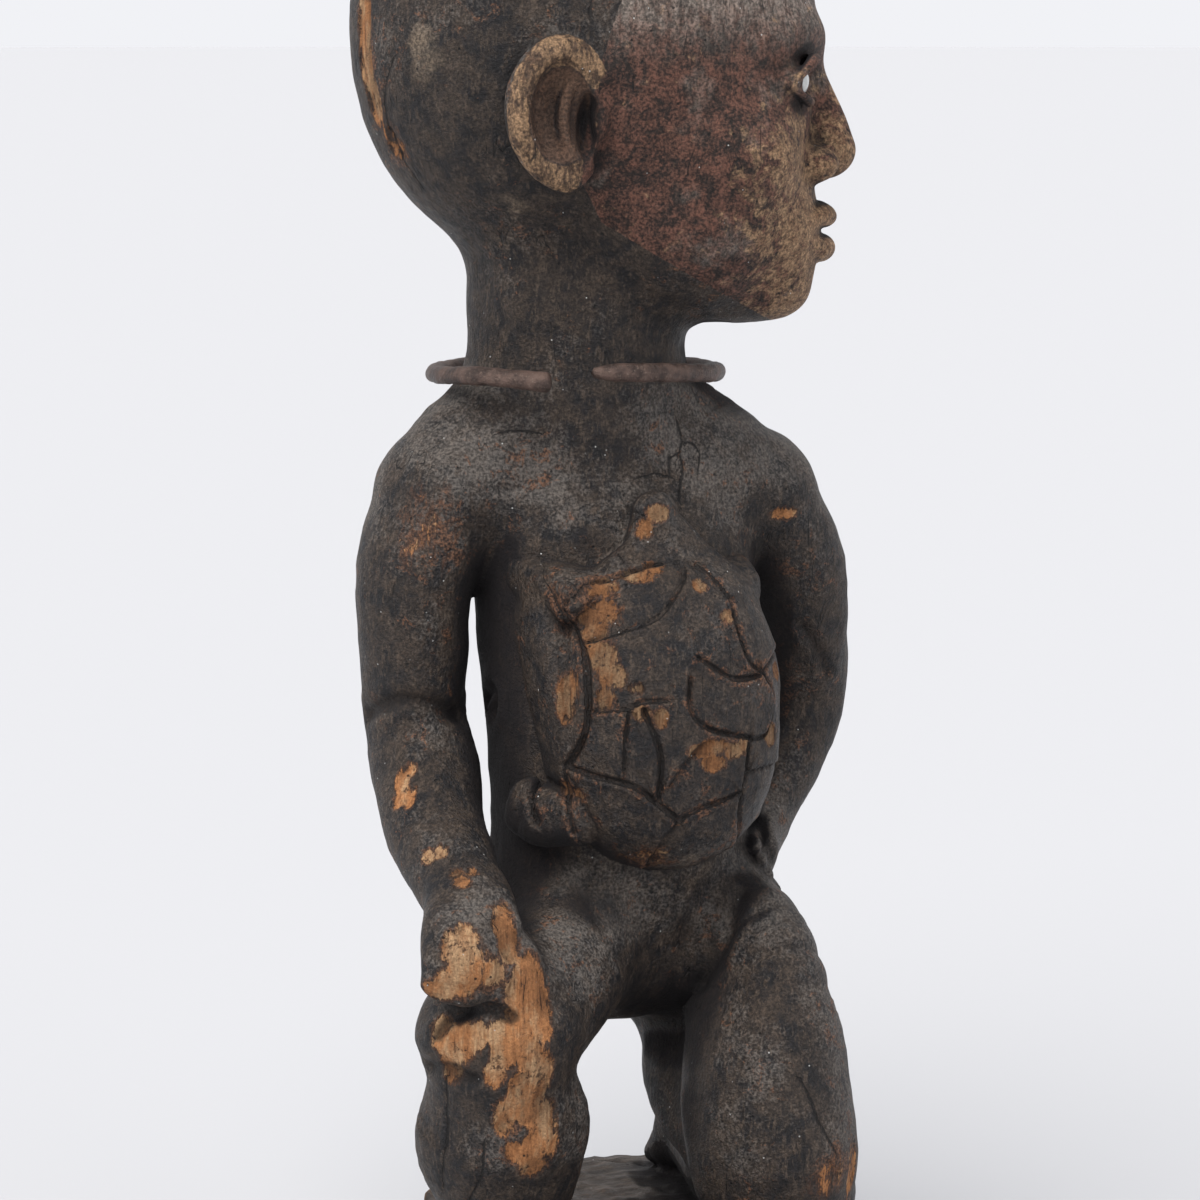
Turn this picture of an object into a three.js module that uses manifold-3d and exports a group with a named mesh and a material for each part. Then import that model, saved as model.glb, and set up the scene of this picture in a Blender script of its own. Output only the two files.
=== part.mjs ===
// Carved wooden figure that kneels on its left knee on a low base, with a tortoise carved on its belly.
// An open metal ring lies loosely round the neck, and two glass lenses are inlaid as eyes.
//
// Millimetres, +Z up. The body faces -Y and its own left side is +X. The head is turned to its left.
// The figure is one solid. Its form is a field: limbs are rounded sections carried along a curve, and
// rounded masses are ellipsoids. They are joined with soft fillets, and the skin is where the field is 0.

import * as THREE from 'three';
import { mergeVertices } from 'three/addons/utils/BufferGeometryUtils.js';
import Module from 'manifold-3d';

const wasm = await Module();
wasm.setup();

// Driving sizes
const HEAD_TURN = 66; // degrees, from facing forward towards the figure's left shoulder
const HEAD_AXIS = [-5.5, 2.4]; // where the head's upright axis stands
const BASE_TOP = 24;
const BASE_CENTRE = [4, -8];
const BASE_HALF = [60, 84];
const BASE_TURN = -14; // degrees
const BASE_SQUARENESS = 3.5; // exponent of the outline: 2 is an ellipse
const BASE_EDGE = 4; // rounding of the upper and lower rim

const RING_CENTRE = [-9, 3.5];
const RING_RADIUS = 42; // to the middle of the wire
const RING_WIRE = 3.05; // radius of the wire
const RING_HEIGHT = 283.3;
const RING_OPENING = [6.2, -9.6]; // degrees of the tapered and of the blunt end, from the opening's middle
const RING_TAPER = 11; // length of the tapered end
const RING_TIP = 0.45; // thickness of the tapered tip, as a share of the wire's
const RING_RISE = 3.7; // of the first end, falling off over RING_SPRUNG degrees
const RING_BEND = 2.2; // an upward bend before the other end
const RING_SPRUNG = 100;
const RING_BEND_PLACE = [320, 26]; // its middle and reach, degrees
const RING_SIDES = 10;
const RING_STEPS = 54;

const GLASS_SIDE = 20.5; // from the middle of the face to the middle of a lens
const GLASS_FRONT = 60.2;
const GLASS_LEVEL = 370;
const GLASS_HALF = [7.2, 4.2, 4.9]; // half width, half thickness, half height
const GLASS_SIDES = 16;
const GLASS_RINGS = 10;
const CLEARANCE = 0.3; // round the lenses

const GRID_STEP = 2.75; // spacing of the points where the field is worked out
const SKIN_TRIANGLES = 7500;
const STEPS_PER_STATION = 4; // curve pieces between two stations of a limb
const EVENNESS = 2e-3; // cost of an edge's length, which makes short edges go first on flat ground
const FAR = 60; // value of the field where no form reaches
const REACH = 4; // a form is worked out this far beyond its box and its blend

// The head's own frame
const turned = THREE.MathUtils.degToRad(HEAD_TURN);
const FACE = [Math.sin(turned), -Math.cos(turned), 0];
const LEFT_OF_HEAD = [Math.cos(turned), Math.sin(turned), 0];
const ACROSS = [1, 0, 0];
const UPRIGHT = [0, 0, 1];

// A point given as distance to the head's left, distance towards the face, and height.
function onHead(left, front, height) {
  return [
    HEAD_AXIS[0] + left * LEFT_OF_HEAD[0] + front * FACE[0],
    HEAD_AXIS[1] + left * LEFT_OF_HEAD[1] + front * FACE[1],
    height,
  ];
}

// A station of a limb on the head: its point and its two half widths.
function headStation([left, front, height, wide, deep]) {
  return [...onHead(left, front, height), wide, deep];
}

// Forms of the field
// Distance-like value from scaled coordinates (u, v, w) and their gradients.
function rounded(u, v, w, gu, gv, gw, power) {
  const size = power === 2
    ? Math.hypot(u, v, w)
    : (Math.abs(u) ** power + Math.abs(v) ** power + Math.abs(w) ** power) ** (1 / power);
  const slope = Math.hypot(gu, gv, gw) + 1e-6;
  return ((size - 1) * (Math.hypot(u, v, w) + 1e-6)) / slope;
}

// Catmull-Rom curve through rows of [x, y, z, half width, half depth].
function curveThrough(rows) {
  const first = rows[0].map((value, i) => 2 * value - rows[1][i]);
  const last = rows.at(-1).map((value, i) => 2 * value - rows.at(-2)[i]);
  const all = [first, ...rows, last];
  const points = [];
  for (let i = 0; i < rows.length - 1; i++) {
    for (let step = 0; step < STEPS_PER_STATION; step++) {
      const t = step / STEPS_PER_STATION;
      points.push(rows[0].map((_, j) => {
        const [a, b, c, d] = [all[i][j], all[i + 1][j], all[i + 2][j], all[i + 3][j]];
        const bend = 2 * a - 5 * b + 4 * c - d;
        const twist = 3 * b - a - 3 * c + d;
        return 0.5 * (2 * b + (c - a) * t + bend * t * t + twist * t ** 3);
      }));
    }
  }
  points.push(rows.at(-1));
  return points;
}

// A section of given half width and half depth carried along a curve, with rounded ends.
// `side` is the direction in which the half width is measured.
function limb(rows, blend, { side = ACROSS, power = 2 } = {}) {
  const points = curveThrough(rows);
  const count = points.length;
  const tangents = points.map((_, i) => {
    const [a, b] = [points[Math.max(i - 1, 0)], points[Math.min(i + 1, count - 1)]];
    return new THREE.Vector3(b[0] - a[0], b[1] - a[1], b[2] - a[2]).normalize();
  });
  const radiusOf = (row) => Math.max(row[3], row[4]);
  const low = [0, 1, 2].map((i) => Math.min(...rows.map((row) => row[i] - radiusOf(row))));
  const high = [0, 1, 2].map((i) => Math.max(...rows.map((row) => row[i] + radiusOf(row))));
  const value = (x, y, z) => {
    let nearest = Infinity;
    let where = 0;
    for (let i = 0; i < count - 1; i++) {
      const [a, b] = [points[i], points[i + 1]];
      const [dx, dy, dz] = [b[0] - a[0], b[1] - a[1], b[2] - a[2]];
      const [px, py, pz] = [x - a[0], y - a[1], z - a[2]];
      const share = (px * dx + py * dy + pz * dz) / (dx * dx + dy * dy + dz * dz);
      const t = Math.min(Math.max(share, 0), 1);
      const gap = (px - t * dx) ** 2 + (py - t * dy) ** 2 + (pz - t * dz) ** 2;
      if (gap < nearest) {
        nearest = gap;
        where = i + t;
      }
    }
    const i = Math.min(Math.floor(where), count - 2);
    const t = where - i;
    const mix = (j) => points[i][j] * (1 - t) + points[i + 1][j] * t;
    const [wide, deep] = [mix(3), mix(4)];
    const end = Math.min(wide, deep);
    const along = tangents[i].clone().lerp(tangents[i + 1], t).normalize();
    const width = new THREE.Vector3(...side);
    width.addScaledVector(along, -width.dot(along)).normalize();
    const depth = along.clone().cross(width);
    const offset = new THREE.Vector3(x - mix(0), y - mix(1), z - mix(2));
    const [u, v, w] = [offset.dot(width), offset.dot(depth), offset.dot(along)];
    return rounded(u / wide, v / deep, w / end, u / wide ** 2, v / deep ** 2, w / end ** 2, power);
  };
  return { low, high, blend, value };
}

// Ellipsoid. Six radii give each half of each axis its own. On the head the axes are the head's.
function mass(centre, radii, blend, { power = 2, head = false, hollow = false } = {}) {
  const [ax, ay] = head ? [LEFT_OF_HEAD, [-FACE[0], -FACE[1]]] : [[1, 0], [0, 1]];
  const six = radii.length === 6 ? radii : radii.flatMap((radius) => [radius, radius]);
  const reach = Math.max(...six) * 1.2;
  const value = (x, y, z) => {
    const [dx, dy] = [x - centre[0], y - centre[1]];
    const local = [dx * ax[0] + dy * ax[1], dx * ay[0] + dy * ay[1], z - centre[2]];
    const radius = local.map((offset, i) => six[2 * i + (offset < 0 ? 0 : 1)]);
    const [u, v, w] = local.map((offset, i) => offset / radius[i]);
    return rounded(u, v, w, u / radius[0], v / radius[1], w / radius[2], power);
  };
  return { low: centre.map((c) => c - reach), high: centre.map((c) => c + reach), blend, value, hollow };
}

// Upright block with a superellipse outline and rounded rims.
function block(centre, half, height, degrees, power, edge, blend) {
  const angle = THREE.MathUtils.degToRad(degrees);
  const [c, s] = [Math.cos(angle), Math.sin(angle)];
  const value = (x, y, z) => {
    const [dx, dy] = [x - centre[0], y - centre[1]];
    const [u, v] = [(c * dx + s * dy) / half[0], (c * dy - s * dx) / half[1]];
    const outward = ((Math.abs(u) ** power + Math.abs(v) ** power) ** (1 / power) - 1) * Math.min(...half);
    const upward = Math.abs(z - height / 2) - height / 2;
    const corner = Math.max(edge - Math.abs(outward - upward), 0);
    return Math.max(outward, upward) + corner ** 2 / (4 * edge);
  };
  const reach = Math.max(...half) + 6;
  return {
    low: [centre[0] - reach, centre[1] - reach, -1],
    high: [centre[0] + reach, centre[1] + reach, height + 1],
    blend,
    value,
  };
}

// The figure's forms. A row of a limb is a point on its curve, the half width and the half depth there.
const onBothSides = (make) => [-1, 1].map(make);

const trunk = [
  limb([[0, -6, 116, 36, 27], [0, -7, 132, 41, 30], [0, -8, 150, 39, 31], [-1.3, -9, 185, 40, 33],
    [0, -3, 222, 43, 33], [0, 2, 248, 47, 30], [-3, 4, 264, 41, 27], [-7, 4, 279, 30, 26]], 8,
  { power: 2.2 }),
  limb([[-8, 4, 270, 31, 31], [-9, 4.5, 290, 32, 32], [-9, 5, 306, 32.3, 32.3], [-9, 5.5, 321, 31, 31]], 8,
    { side: LEFT_OF_HEAD }),
  limb([[-14, 6, 266, 20, 21], [-36, 6, 262, 20, 23], [-50, 5, 251, 19, 21.5]], 12, { side: UPRIGHT }),
  limb([[14, 4, 258, 19, 20], [32, 3, 254, 19.5, 22], [48.5, 3, 246, 18.5, 23]], 10, { side: UPRIGHT }),
];

const rightArm = [
  limb([[-52.5, 4, 248, 19, 22], [-60.5, 3.5, 226, 17.5, 20], [-61.5, 4, 200, 15.5, 18],
    [-60.5, 5, 182, 14.5, 17], [-60.5, -2.5, 168.5, 16, 17], [-63, -18, 153, 15, 14.5],
    [-64, -33, 143.5, 13.5, 13], [-64.5, -45.5, 137, 12, 11.5]], 4),
];
const leftArm = [
  limb([[50, 3, 245, 18, 22], [62.5, 4, 222, 17, 20], [67, 8, 200, 15.5, 18], [69.5, 12, 184, 15.5, 16],
    [66, 11, 169, 14.5, 15], [55, 4, 153, 12.5, 13], [44, -4, 139, 11, 12]], 4),
];

const rightLeg = [
  limb([[-20, 2, 116, 26, 26], [-27.5, -27, 113.5, 22, 22], [-45.5, -41, 104, 23, 22],
    [-53, -46.5, 98.5, 22, 22]], 10, { side: UPRIGHT }),
  limb([[-56.5, -47.5, 97.5, 24, 21], [-56, -47.5, 86.5, 20.5, 20], [-52.5, -42.5, 73, 25.2, 23],
    [-51.2, -38.5, 60.5, 25.2, 22], [-47.5, -33.5, 44, 19, 19], [-44, -28.5, 32, 13, 14]], 6),
  limb([[-41, -22, 32, 9, 12], [-45, -42, 32, 9, 13], [-49, -63, 29, 6, 15]], 6, { side: UPRIGHT }),
];
const leftLeg = [
  limb([[22, 4, 114, 24, 27], [33, -30, 107, 17, 27], [33, -38.5, 91.5, 22, 28],
    [31.5, -44.5, 71.5, 25, 27], [32.5, -47.5, 53.5, 25.7, 25], [35.5, -46, 39, 24, 21]], 8),
  limb([[33, 2, 80, 19.5, 19], [31.5, -8.5, 64, 20.5, 20], [33, -24, 52, 18, 18]], 8),
  limb([[35, -44, 38, 14, 18], [41, -14, 38, 15, 19], [46, 12, 36, 13, 16], [48, 32, 36, 11, 13]], 7,
    { side: UPRIGHT }),
  limb([[46, 31, 60, 12, 11], [47.5, 37, 46, 13, 10], [48.5, 43, 31, 14, 8]], 6),
];
const seat = [
  mass([-19, 14, 114], [24, 22, 22], 14),
  mass([21, 16, 110], [24, 23, 24], 14),
];

// The tortoise lies against the belly with its head up. Its left side is a little narrower.
const TORTOISE_X = 1;
const TORTOISE_SIDES = [-1, 0.86];
const tortoiseLimb = (s, rows, blend, options) => limb(
  rows.map(([out, ...rest]) => [TORTOISE_X + s * out, ...rest]),
  blend,
  options,
);
const tortoise = [
  mass([TORTOISE_X, -38, 187], [35, 25, 47], 4, { power: 2.3 }),
  limb([[2, -36, 222, 13, 10], [0, -34, 236, 9, 8], [-1, -35, 246, 6, 6]], 3),
  limb([[0, -33, 244, 6, 5], [1, -34.5, 237, 12, 7.5], [1, -36, 229, 22, 9.5], [1, -38, 221, 29, 12]], 3,
    { power: 2.6 }),
  ...TORTOISE_SIDES.flatMap((s) => [
    tortoiseLimb(s, [[29, -14.5, 225, 9, 12], [31.5, -22, 214.5, 8.5, 13], [31.8, -29, 201, 7.5, 13],
      [31.5, -34, 187, 6.5, 12], [29.5, -34.5, 172.5, 5.5, 11]], 2, { power: 3 }),
    tortoiseLimb(s, [[25.5, -38, 222, 7.5, 10], [30, -17, 226.5, 7, 11]], 2, { side: UPRIGHT, power: 3 }),
    tortoiseLimb(s, [[27, -36.5, 158, 9, 10], [33.5, -28, 157.5, 9.5, 9.5], [36, -25, 158.5, 9, 8]], 2,
      { side: UPRIGHT, power: 2.6 }),
  ]),
];

const rightHand = [
  mass([-57, -57, 119], [10, 12.5, 13], 7), // wood left between the palm and the knee
  limb([[-64, -46, 137.5, 12, 11], [-70, -57, 131, 12.5, 10], [-73, -63, 123, 12.5, 8],
    [-74.5, -63.5, 116.5, 12, 5]], 4),
  limb([[-59, -54.5, 137.5, 4.5, 5], [-58.5, -61.5, 133, 4, 4.5]], 4),
];

const head = [
  mass(onHead(0, -8, 386), [53, 53, 75, 62.2, 71.5, 61], 10, { power: 2.1, head: true }),
  mass(onHead(0, 28, 347), [43, 43, 37, 40, 47, 50], 10, { power: 2.4, head: true }),
  mass(onHead(0, 50, 310), [16, 16, 16, 20, 11, 14], 9, { power: 2.2, head: true }),
  ...onBothSides((s) => mass(onHead(s * 30, 42, 350), [13, 16, 13], 10, { head: true })),
  limb([[-28, 52, 381, 5, 5], [-14, 62, 384, 5, 5], [0, 64, 381, 5, 5], [14, 62, 384, 5, 5],
    [28, 52, 381, 5, 5]].map(headStation), 7, { side: UPRIGHT }),
  ...onBothSides((s) => mass(onHead(s * 21, 68, 370), [13, 9, 8], 5, { head: true, hollow: true })),
  ...onBothSides((s) => mass(onHead(s * 21, 56, 370), [11, 8, 7.5], 2, { head: true })),
  limb([[0, 62, 375, 5, 6], [0, 67, 360, 6, 8], [0, 70, 349, 8, 9]].map(headStation), 4,
    { side: LEFT_OF_HEAD }),
  ...onBothSides((s) => mass(onHead(s * 8, 66, 345), [5.5, 8, 5], 3, { head: true })),
  mass(onHead(0, 56, 326), [20, 12, 14], 8, { head: true }),
  limb([[-14, 61, 327, 2, 3], [-6, 67, 330, 3.2, 4], [0, 68, 329.5, 3, 4], [6, 67, 330, 3.2, 4],
    [14, 61, 327, 2, 3]].map(headStation), 1.5, { side: UPRIGHT }),
  limb([[-13, 61, 325, 2, 3], [0, 67.5, 321.5, 3.6, 4], [13, 61, 325, 2, 3]].map(headStation), 1.5,
    { side: UPRIGHT }),
];

const ears = onBothSides((s) => [
  mass(onHead(s * 50, -7, 361), [8, 11.5, 18], 4, { head: true }),
  limb([[50, 4, 373, 3, 3], [53, -4, 379, 3.6, 3.6], [55.5, -12, 378.5, 4, 4], [57, -18.5, 369, 4.2, 4],
    [57, -19, 358, 4.2, 4], [54.5, -14, 348, 4, 4], [51, -6, 342.5, 3.6, 3.6], [50, -1, 346, 3, 3]]
    .map(([left, ...rest]) => headStation([s * left, ...rest])), 3, { side: LEFT_OF_HEAD }),
  mass(onHead(s * 59, -6, 361), [5.5, 8, 13.5], 2, { head: true, hollow: true }),
]).flat();

const base = [block(BASE_CENTRE, BASE_HALF, BASE_TOP, BASE_TURN, BASE_SQUARENESS, BASE_EDGE, 3)];

const figureForms = [
  ...trunk, ...rightArm, ...leftArm, ...rightLeg, ...leftLeg, ...seat, ...tortoise, ...rightHand,
  ...base, ...head, ...ears,
];

// From field to skin
function softMin(a, b, blend) {
  const h = Math.max(blend - Math.abs(a - b), 0) / blend;
  return Math.min(a, b) - h * h * blend * 0.25;
}

// Works the field out on a regular grid. Each form is only evaluated in the box that it can change.
function fieldOn(forms, step) {
  const margin = 2 * step;
  const low = [0, 1, 2].map((i) => Math.min(...forms.map((form) => form.low[i])) - margin);
  const high = [0, 1, 2].map((i) => Math.max(...forms.map((form) => form.high[i])) + margin);
  const size = low.map((value, i) => Math.ceil((high[i] - value) / step) + 1);
  const strides = [1, size[0], size[0] * size[1]];
  const values = new Float32Array(size[0] * size[1] * size[2]).fill(FAR);
  for (const form of forms) {
    const reach = form.blend + REACH;
    const from = low.map((value, i) => Math.max(Math.floor((form.low[i] - reach - value) / step), 0));
    const last = low.map((value, i) => Math.ceil((form.high[i] + reach - value) / step));
    const to = last.map((value, i) => Math.min(value, size[i] - 1));
    for (let k = from[2]; k <= to[2]; k++) {
      for (let j = from[1]; j <= to[1]; j++) {
        for (let i = from[0]; i <= to[0]; i++) {
          const at = i + j * strides[1] + k * strides[2];
          const value = form.value(low[0] + i * step, low[1] + j * step, low[2] + k * step);
          values[at] = form.hollow
            ? -softMin(-values[at], value, form.blend)
            : softMin(values[at], value, form.blend);
        }
      }
    }
  }
  return { low, size, strides, step, values };
}

const distance = (p, q) => Math.hypot(p[0] - q[0], p[1] - q[1], p[2] - q[2]);

// Normal of a triangle, as long as twice its area.
const crossOf = (p, q, r) => {
  const [ux, uy, uz] = [q[0] - p[0], q[1] - p[1], q[2] - p[2]];
  const [vx, vy, vz] = [r[0] - p[0], r[1] - p[1], r[2] - p[2]];
  return [uy * vz - uz * vy, uz * vx - ux * vz, ux * vy - uy * vx];
};

// Cuts every grid cube into six tetrahedra round its long diagonal and puts one or two triangles in each
// that the skin crosses. The result is always a closed surface.
function skinOf({ low, size, strides, step, values }) {
  const orders = [[0, 1, 2], [0, 2, 1], [1, 0, 2], [1, 2, 0], [2, 0, 1], [2, 1, 0]];
  const corners = orders.map(([a, b]) => [0, 1 << a, (1 << a) | (1 << b), 7]);
  const shift = [0, 1, 2, 3, 4, 5, 6, 7].map(
    (c) => (c & 1) * strides[0] + ((c >> 1) & 1) * strides[1] + (c >> 2) * strides[2],
  );
  const points = [];
  const triangles = [];
  const known = new Map();
  const cellOf = (at) => [
    at % size[0],
    Math.floor(at / size[0]) % size[1],
    Math.floor(at / strides[2]),
  ];
  const vertex = (a, b) => {
    const key = Math.min(a, b) * 8 + shift.indexOf(Math.abs(a - b));
    if (known.has(key)) {
      return known.get(key);
    }
    const t = Math.min(Math.max(values[a] / (values[a] - values[b]), 0.04), 0.96);
    const [from, to] = [cellOf(a), cellOf(b)];
    points.push(from.map((value, i) => low[i] + (value + t * (to[i] - value)) * step));
    known.set(key, points.length - 1);
    return points.length - 1;
  };
  const add = (a, b, c, outward) => {
    const normal = crossOf(points[a], points[b], points[c]);
    const facing = outward.reduce((sum, value, i) => sum + value * normal[i], 0);
    triangles.push(facing > 0 ? [a, b, c] : [a, c, b]);
  };
  const mean = (list) => [0, 1, 2].map(
    (i) => list.reduce((sum, at) => sum + cellOf(at)[i], 0) / list.length,
  );
  for (let k = 0; k < size[2] - 1; k++) {
    for (let j = 0; j < size[1] - 1; j++) {
      for (let i = 0; i < size[0] - 1; i++) {
        const at = i + j * strides[1] + k * strides[2];
        const inside = shift.reduce((count, offset) => count + (values[at + offset] < 0 ? 1 : 0), 0);
        if (inside === 0 || inside === 8) {
          continue;
        }
        for (const tetrahedron of corners) {
          const four = tetrahedron.map((c) => at + shift[c]);
          const within = four.filter((p) => values[p] < 0);
          const beyond = four.filter((p) => values[p] >= 0);
          if (within.length === 0 || beyond.length === 0) {
            continue;
          }
          const [from, to] = [mean(within), mean(beyond)];
          const outward = to.map((value, n) => value - from[n]);
          if (within.length === 2) {
            const [a, b] = within;
            const [c, d] = beyond;
            const ring = [vertex(a, c), vertex(a, d), vertex(b, d), vertex(b, c)];
            add(ring[0], ring[1], ring[2], outward);
            add(ring[0], ring[2], ring[3], outward);
          } else {
            const [lone, three] = within.length === 1 ? [within[0], beyond] : [beyond[0], within];
            add(...three.map((p) => vertex(lone, p)), outward);
          }
        }
      }
    }
  }
  return { points, triangles };
}

// Fewer triangles
// Heap of [cost, a, b, stamp], cheapest first.
class Heap {
  constructor() {
    this.list = [];
  }

  push(item) {
    const list = this.list;
    let at = list.push(item) - 1;
    while (at > 0) {
      const parent = (at - 1) >> 1;
      if (list[parent][0] <= item[0]) {
        break;
      }
      list[at] = list[parent];
      at = parent;
    }
    list[at] = item;
  }

  pop() {
    const list = this.list;
    const top = list[0];
    const item = list.pop();
    const count = list.length;
    let at = 0;
    while (2 * at + 1 < count) {
      let child = 2 * at + 1;
      if (child + 1 < count && list[child + 1][0] < list[child][0]) {
        child += 1;
      }
      if (list[child][0] >= item[0]) {
        break;
      }
      list[at] = list[child];
      at = child;
    }
    if (count > 0) {
      list[at] = item;
    }
    return top;
  }
}

const LEAST_TURN = 0.2; // cosine of the most that a merge may turn a triangle
const LEAST_SHAPE = 0.12; // least ratio of a triangle's double area to its longest edge squared
const TOO_DEAR = 1e6; // above this cost the round ends and the limits are eased

// Merges neighbouring points, cheapest first, until `wanted` triangles are left. The cost is the summed
// squared distance to the planes of the triangles that a point stands for, times `weight` at that point.
function thinned({ points, triangles }, wanted, weight) {
  const quadrics = points.map(() => new Float64Array(10));
  const around = points.map(() => new Set());
  triangles.forEach((triangle, t) => {
    const normal = crossOf(...triangle.map((p) => points[p]));
    const area = Math.hypot(...normal) || 1e-12;
    const [a, b, c] = normal.map((value) => value / area);
    const corner = points[triangle[0]];
    const d = -(a * corner[0] + b * corner[1] + c * corner[2]);
    const scale = area * weight(corner);
    const terms = [a * a, a * b, a * c, a * d, b * b, b * c, b * d, c * c, c * d, d * d];
    triangle.forEach((p) => {
      terms.forEach((term, i) => {
        quadrics[p][i] += term * scale;
      });
      around[p].add(t);
    });
  });
  const cost = (q, [x, y, z]) => q[0] * x * x + 2 * q[1] * x * y + 2 * q[2] * x * z + 2 * q[3] * x
    + q[4] * y * y + 2 * q[5] * y * z + 2 * q[6] * y + q[7] * z * z + 2 * q[8] * z + q[9];
  const merged = (a, b) => {
    const q = quadrics[a].map((value, i) => value + quadrics[b][i]);
    const middle = points[a].map((value, i) => (value + points[b][i]) / 2);
    const det = q[0] * (q[4] * q[7] - q[5] * q[5]) - q[1] * (q[1] * q[7] - q[5] * q[2])
      + q[2] * (q[1] * q[5] - q[4] * q[2]);
    const choices = [middle, points[a], points[b]];
    const trace = q[0] + q[4] + q[7];
    if (Math.abs(det) > 1e-4 * trace ** 3) {
      const x = -(q[3] * (q[4] * q[7] - q[5] * q[5]) - q[1] * (q[6] * q[7] - q[5] * q[8])
        + q[2] * (q[6] * q[5] - q[4] * q[8])) / det;
      const y = -(q[0] * (q[6] * q[7] - q[8] * q[5]) - q[3] * (q[1] * q[7] - q[5] * q[2])
        + q[2] * (q[1] * q[8] - q[6] * q[2])) / det;
      const z = -(q[0] * (q[4] * q[8] - q[5] * q[6]) - q[1] * (q[1] * q[8] - q[6] * q[2])
        + q[3] * (q[1] * q[5] - q[4] * q[2])) / det;
      choices.unshift([x, y, z]);
    }
    const length = distance(points[a], points[b]);
    const near = choices.filter((p) => distance(p, middle) <= 1.5 * length);
    const best = near.reduce((least, p) => (cost(q, p) < cost(q, least) ? p : least));
    return { q, best, price: Math.max(cost(q, best), 0) + EVENNESS * length * length };
  };
  const stamps = new Int32Array(points.length);
  const heap = new Heap();
  const offer = (a, b) => heap.push([merged(a, b).price, a, b, stamps[a] + stamps[b]]);
  const neighbours = (a) => {
    const found = new Set();
    for (const t of around[a]) {
      triangles[t].forEach((p) => found.add(p));
    }
    found.delete(a);
    return found;
  };
  const offerAll = () => triangles.filter((triangle) => triangle !== null).forEach((triangle) => {
    triangle.forEach((a, i) => {
      const b = triangle[(i + 1) % 3];
      if (a < b) {
        offer(a, b);
      }
    });
  });
  const shapeOf = (corners) => {
    const longest = Math.max(...corners.map((from, i) => {
      const to = corners[(i + 1) % 3];
      return (to[0] - from[0]) ** 2 + (to[1] - from[1]) ** 2 + (to[2] - from[2]) ** 2;
    }));
    return Math.hypot(...crossOf(...corners)) / longest;
  };
  const spoils = (a, b, best) => {
    for (const t of around[a]) {
      const triangle = triangles[t];
      if (triangle.includes(b)) {
        continue;
      }
      const old = triangle.map((p) => points[p]);
      const fresh = triangle.map((p) => (p === a ? best : points[p]));
      const [was, becomes] = [crossOf(...old), crossOf(...fresh)];
      const dot = was[0] * becomes[0] + was[1] * becomes[1] + was[2] * becomes[2];
      const turns = dot < LEAST_TURN * Math.hypot(...was) * Math.hypot(...becomes);
      const shape = shapeOf(fresh);
      if (turns || (shape < worst && shape < shapeOf(old))) {
        return true;
      }
    }
    return false;
  };
  let left = triangles.length;
  let worst = LEAST_SHAPE;
  let atLastOffer = Infinity;
  while (left > wanted) {
    if (heap.list.length === 0) {
      if (left > 0.97 * atLastOffer) {
        worst /= 2;
      }
      if (worst < LEAST_SHAPE / 64) {
        break;
      }
      atLastOffer = left;
      offerAll();
    }
    const [price, a, b, stamp] = heap.pop();
    if (price > TOO_DEAR) {
      heap.list.length = 0;
      continue;
    }
    if (!around[a] || !around[b] || stamp !== stamps[a] + stamps[b]) {
      continue;
    }
    const shared = [...neighbours(a)].filter((p) => neighbours(b).has(p));
    if (shared.length !== 2) {
      continue;
    }
    const { q, best } = merged(a, b);
    if (spoils(a, b, best) || spoils(b, a, best)) {
      heap.push([Math.max(price, EVENNESS) * 3, a, b, stamp]); // asked again later
      continue;
    }
    points[a] = best;
    quadrics[a] = q;
    for (const t of around[b]) {
      if (triangles[t].includes(a)) {
        triangles[t].forEach((p) => around[p].delete(t));
        triangles[t] = null;
        left -= 1;
      } else {
        triangles[t] = triangles[t].map((p) => (p === b ? a : p));
        around[a].add(t);
      }
    }
    around[b] = null;
    stamps[a] += 1;
    neighbours(a).forEach((p) => {
      offer(Math.min(a, p), Math.max(a, p));
    });
  }
  return { points, triangles: triangles.filter((triangle) => triangle !== null) };
}

// The field at any point.
function fieldAt(forms, point) {
  let value = FAR;
  for (const form of forms) {
    const reach = form.blend + REACH;
    if (point.some((p, i) => p < form.low[i] - reach || p > form.high[i] + reach)) {
      continue;
    }
    const own = form.value(...point);
    value = form.hollow ? -softMin(-value, own, form.blend) : softMin(value, own, form.blend);
  }
  return value;
}

const PROBE = 0.2; // half the distance over which the field's slope is measured

function slopeAt(forms, point) {
  return point.map((_, i) => {
    const [less, more] = [-PROBE, PROBE].map(
      (shift) => fieldAt(forms, point.map((p, j) => (j === i ? p + shift : p))),
    );
    return (more - less) / (2 * PROBE);
  });
}

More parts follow.
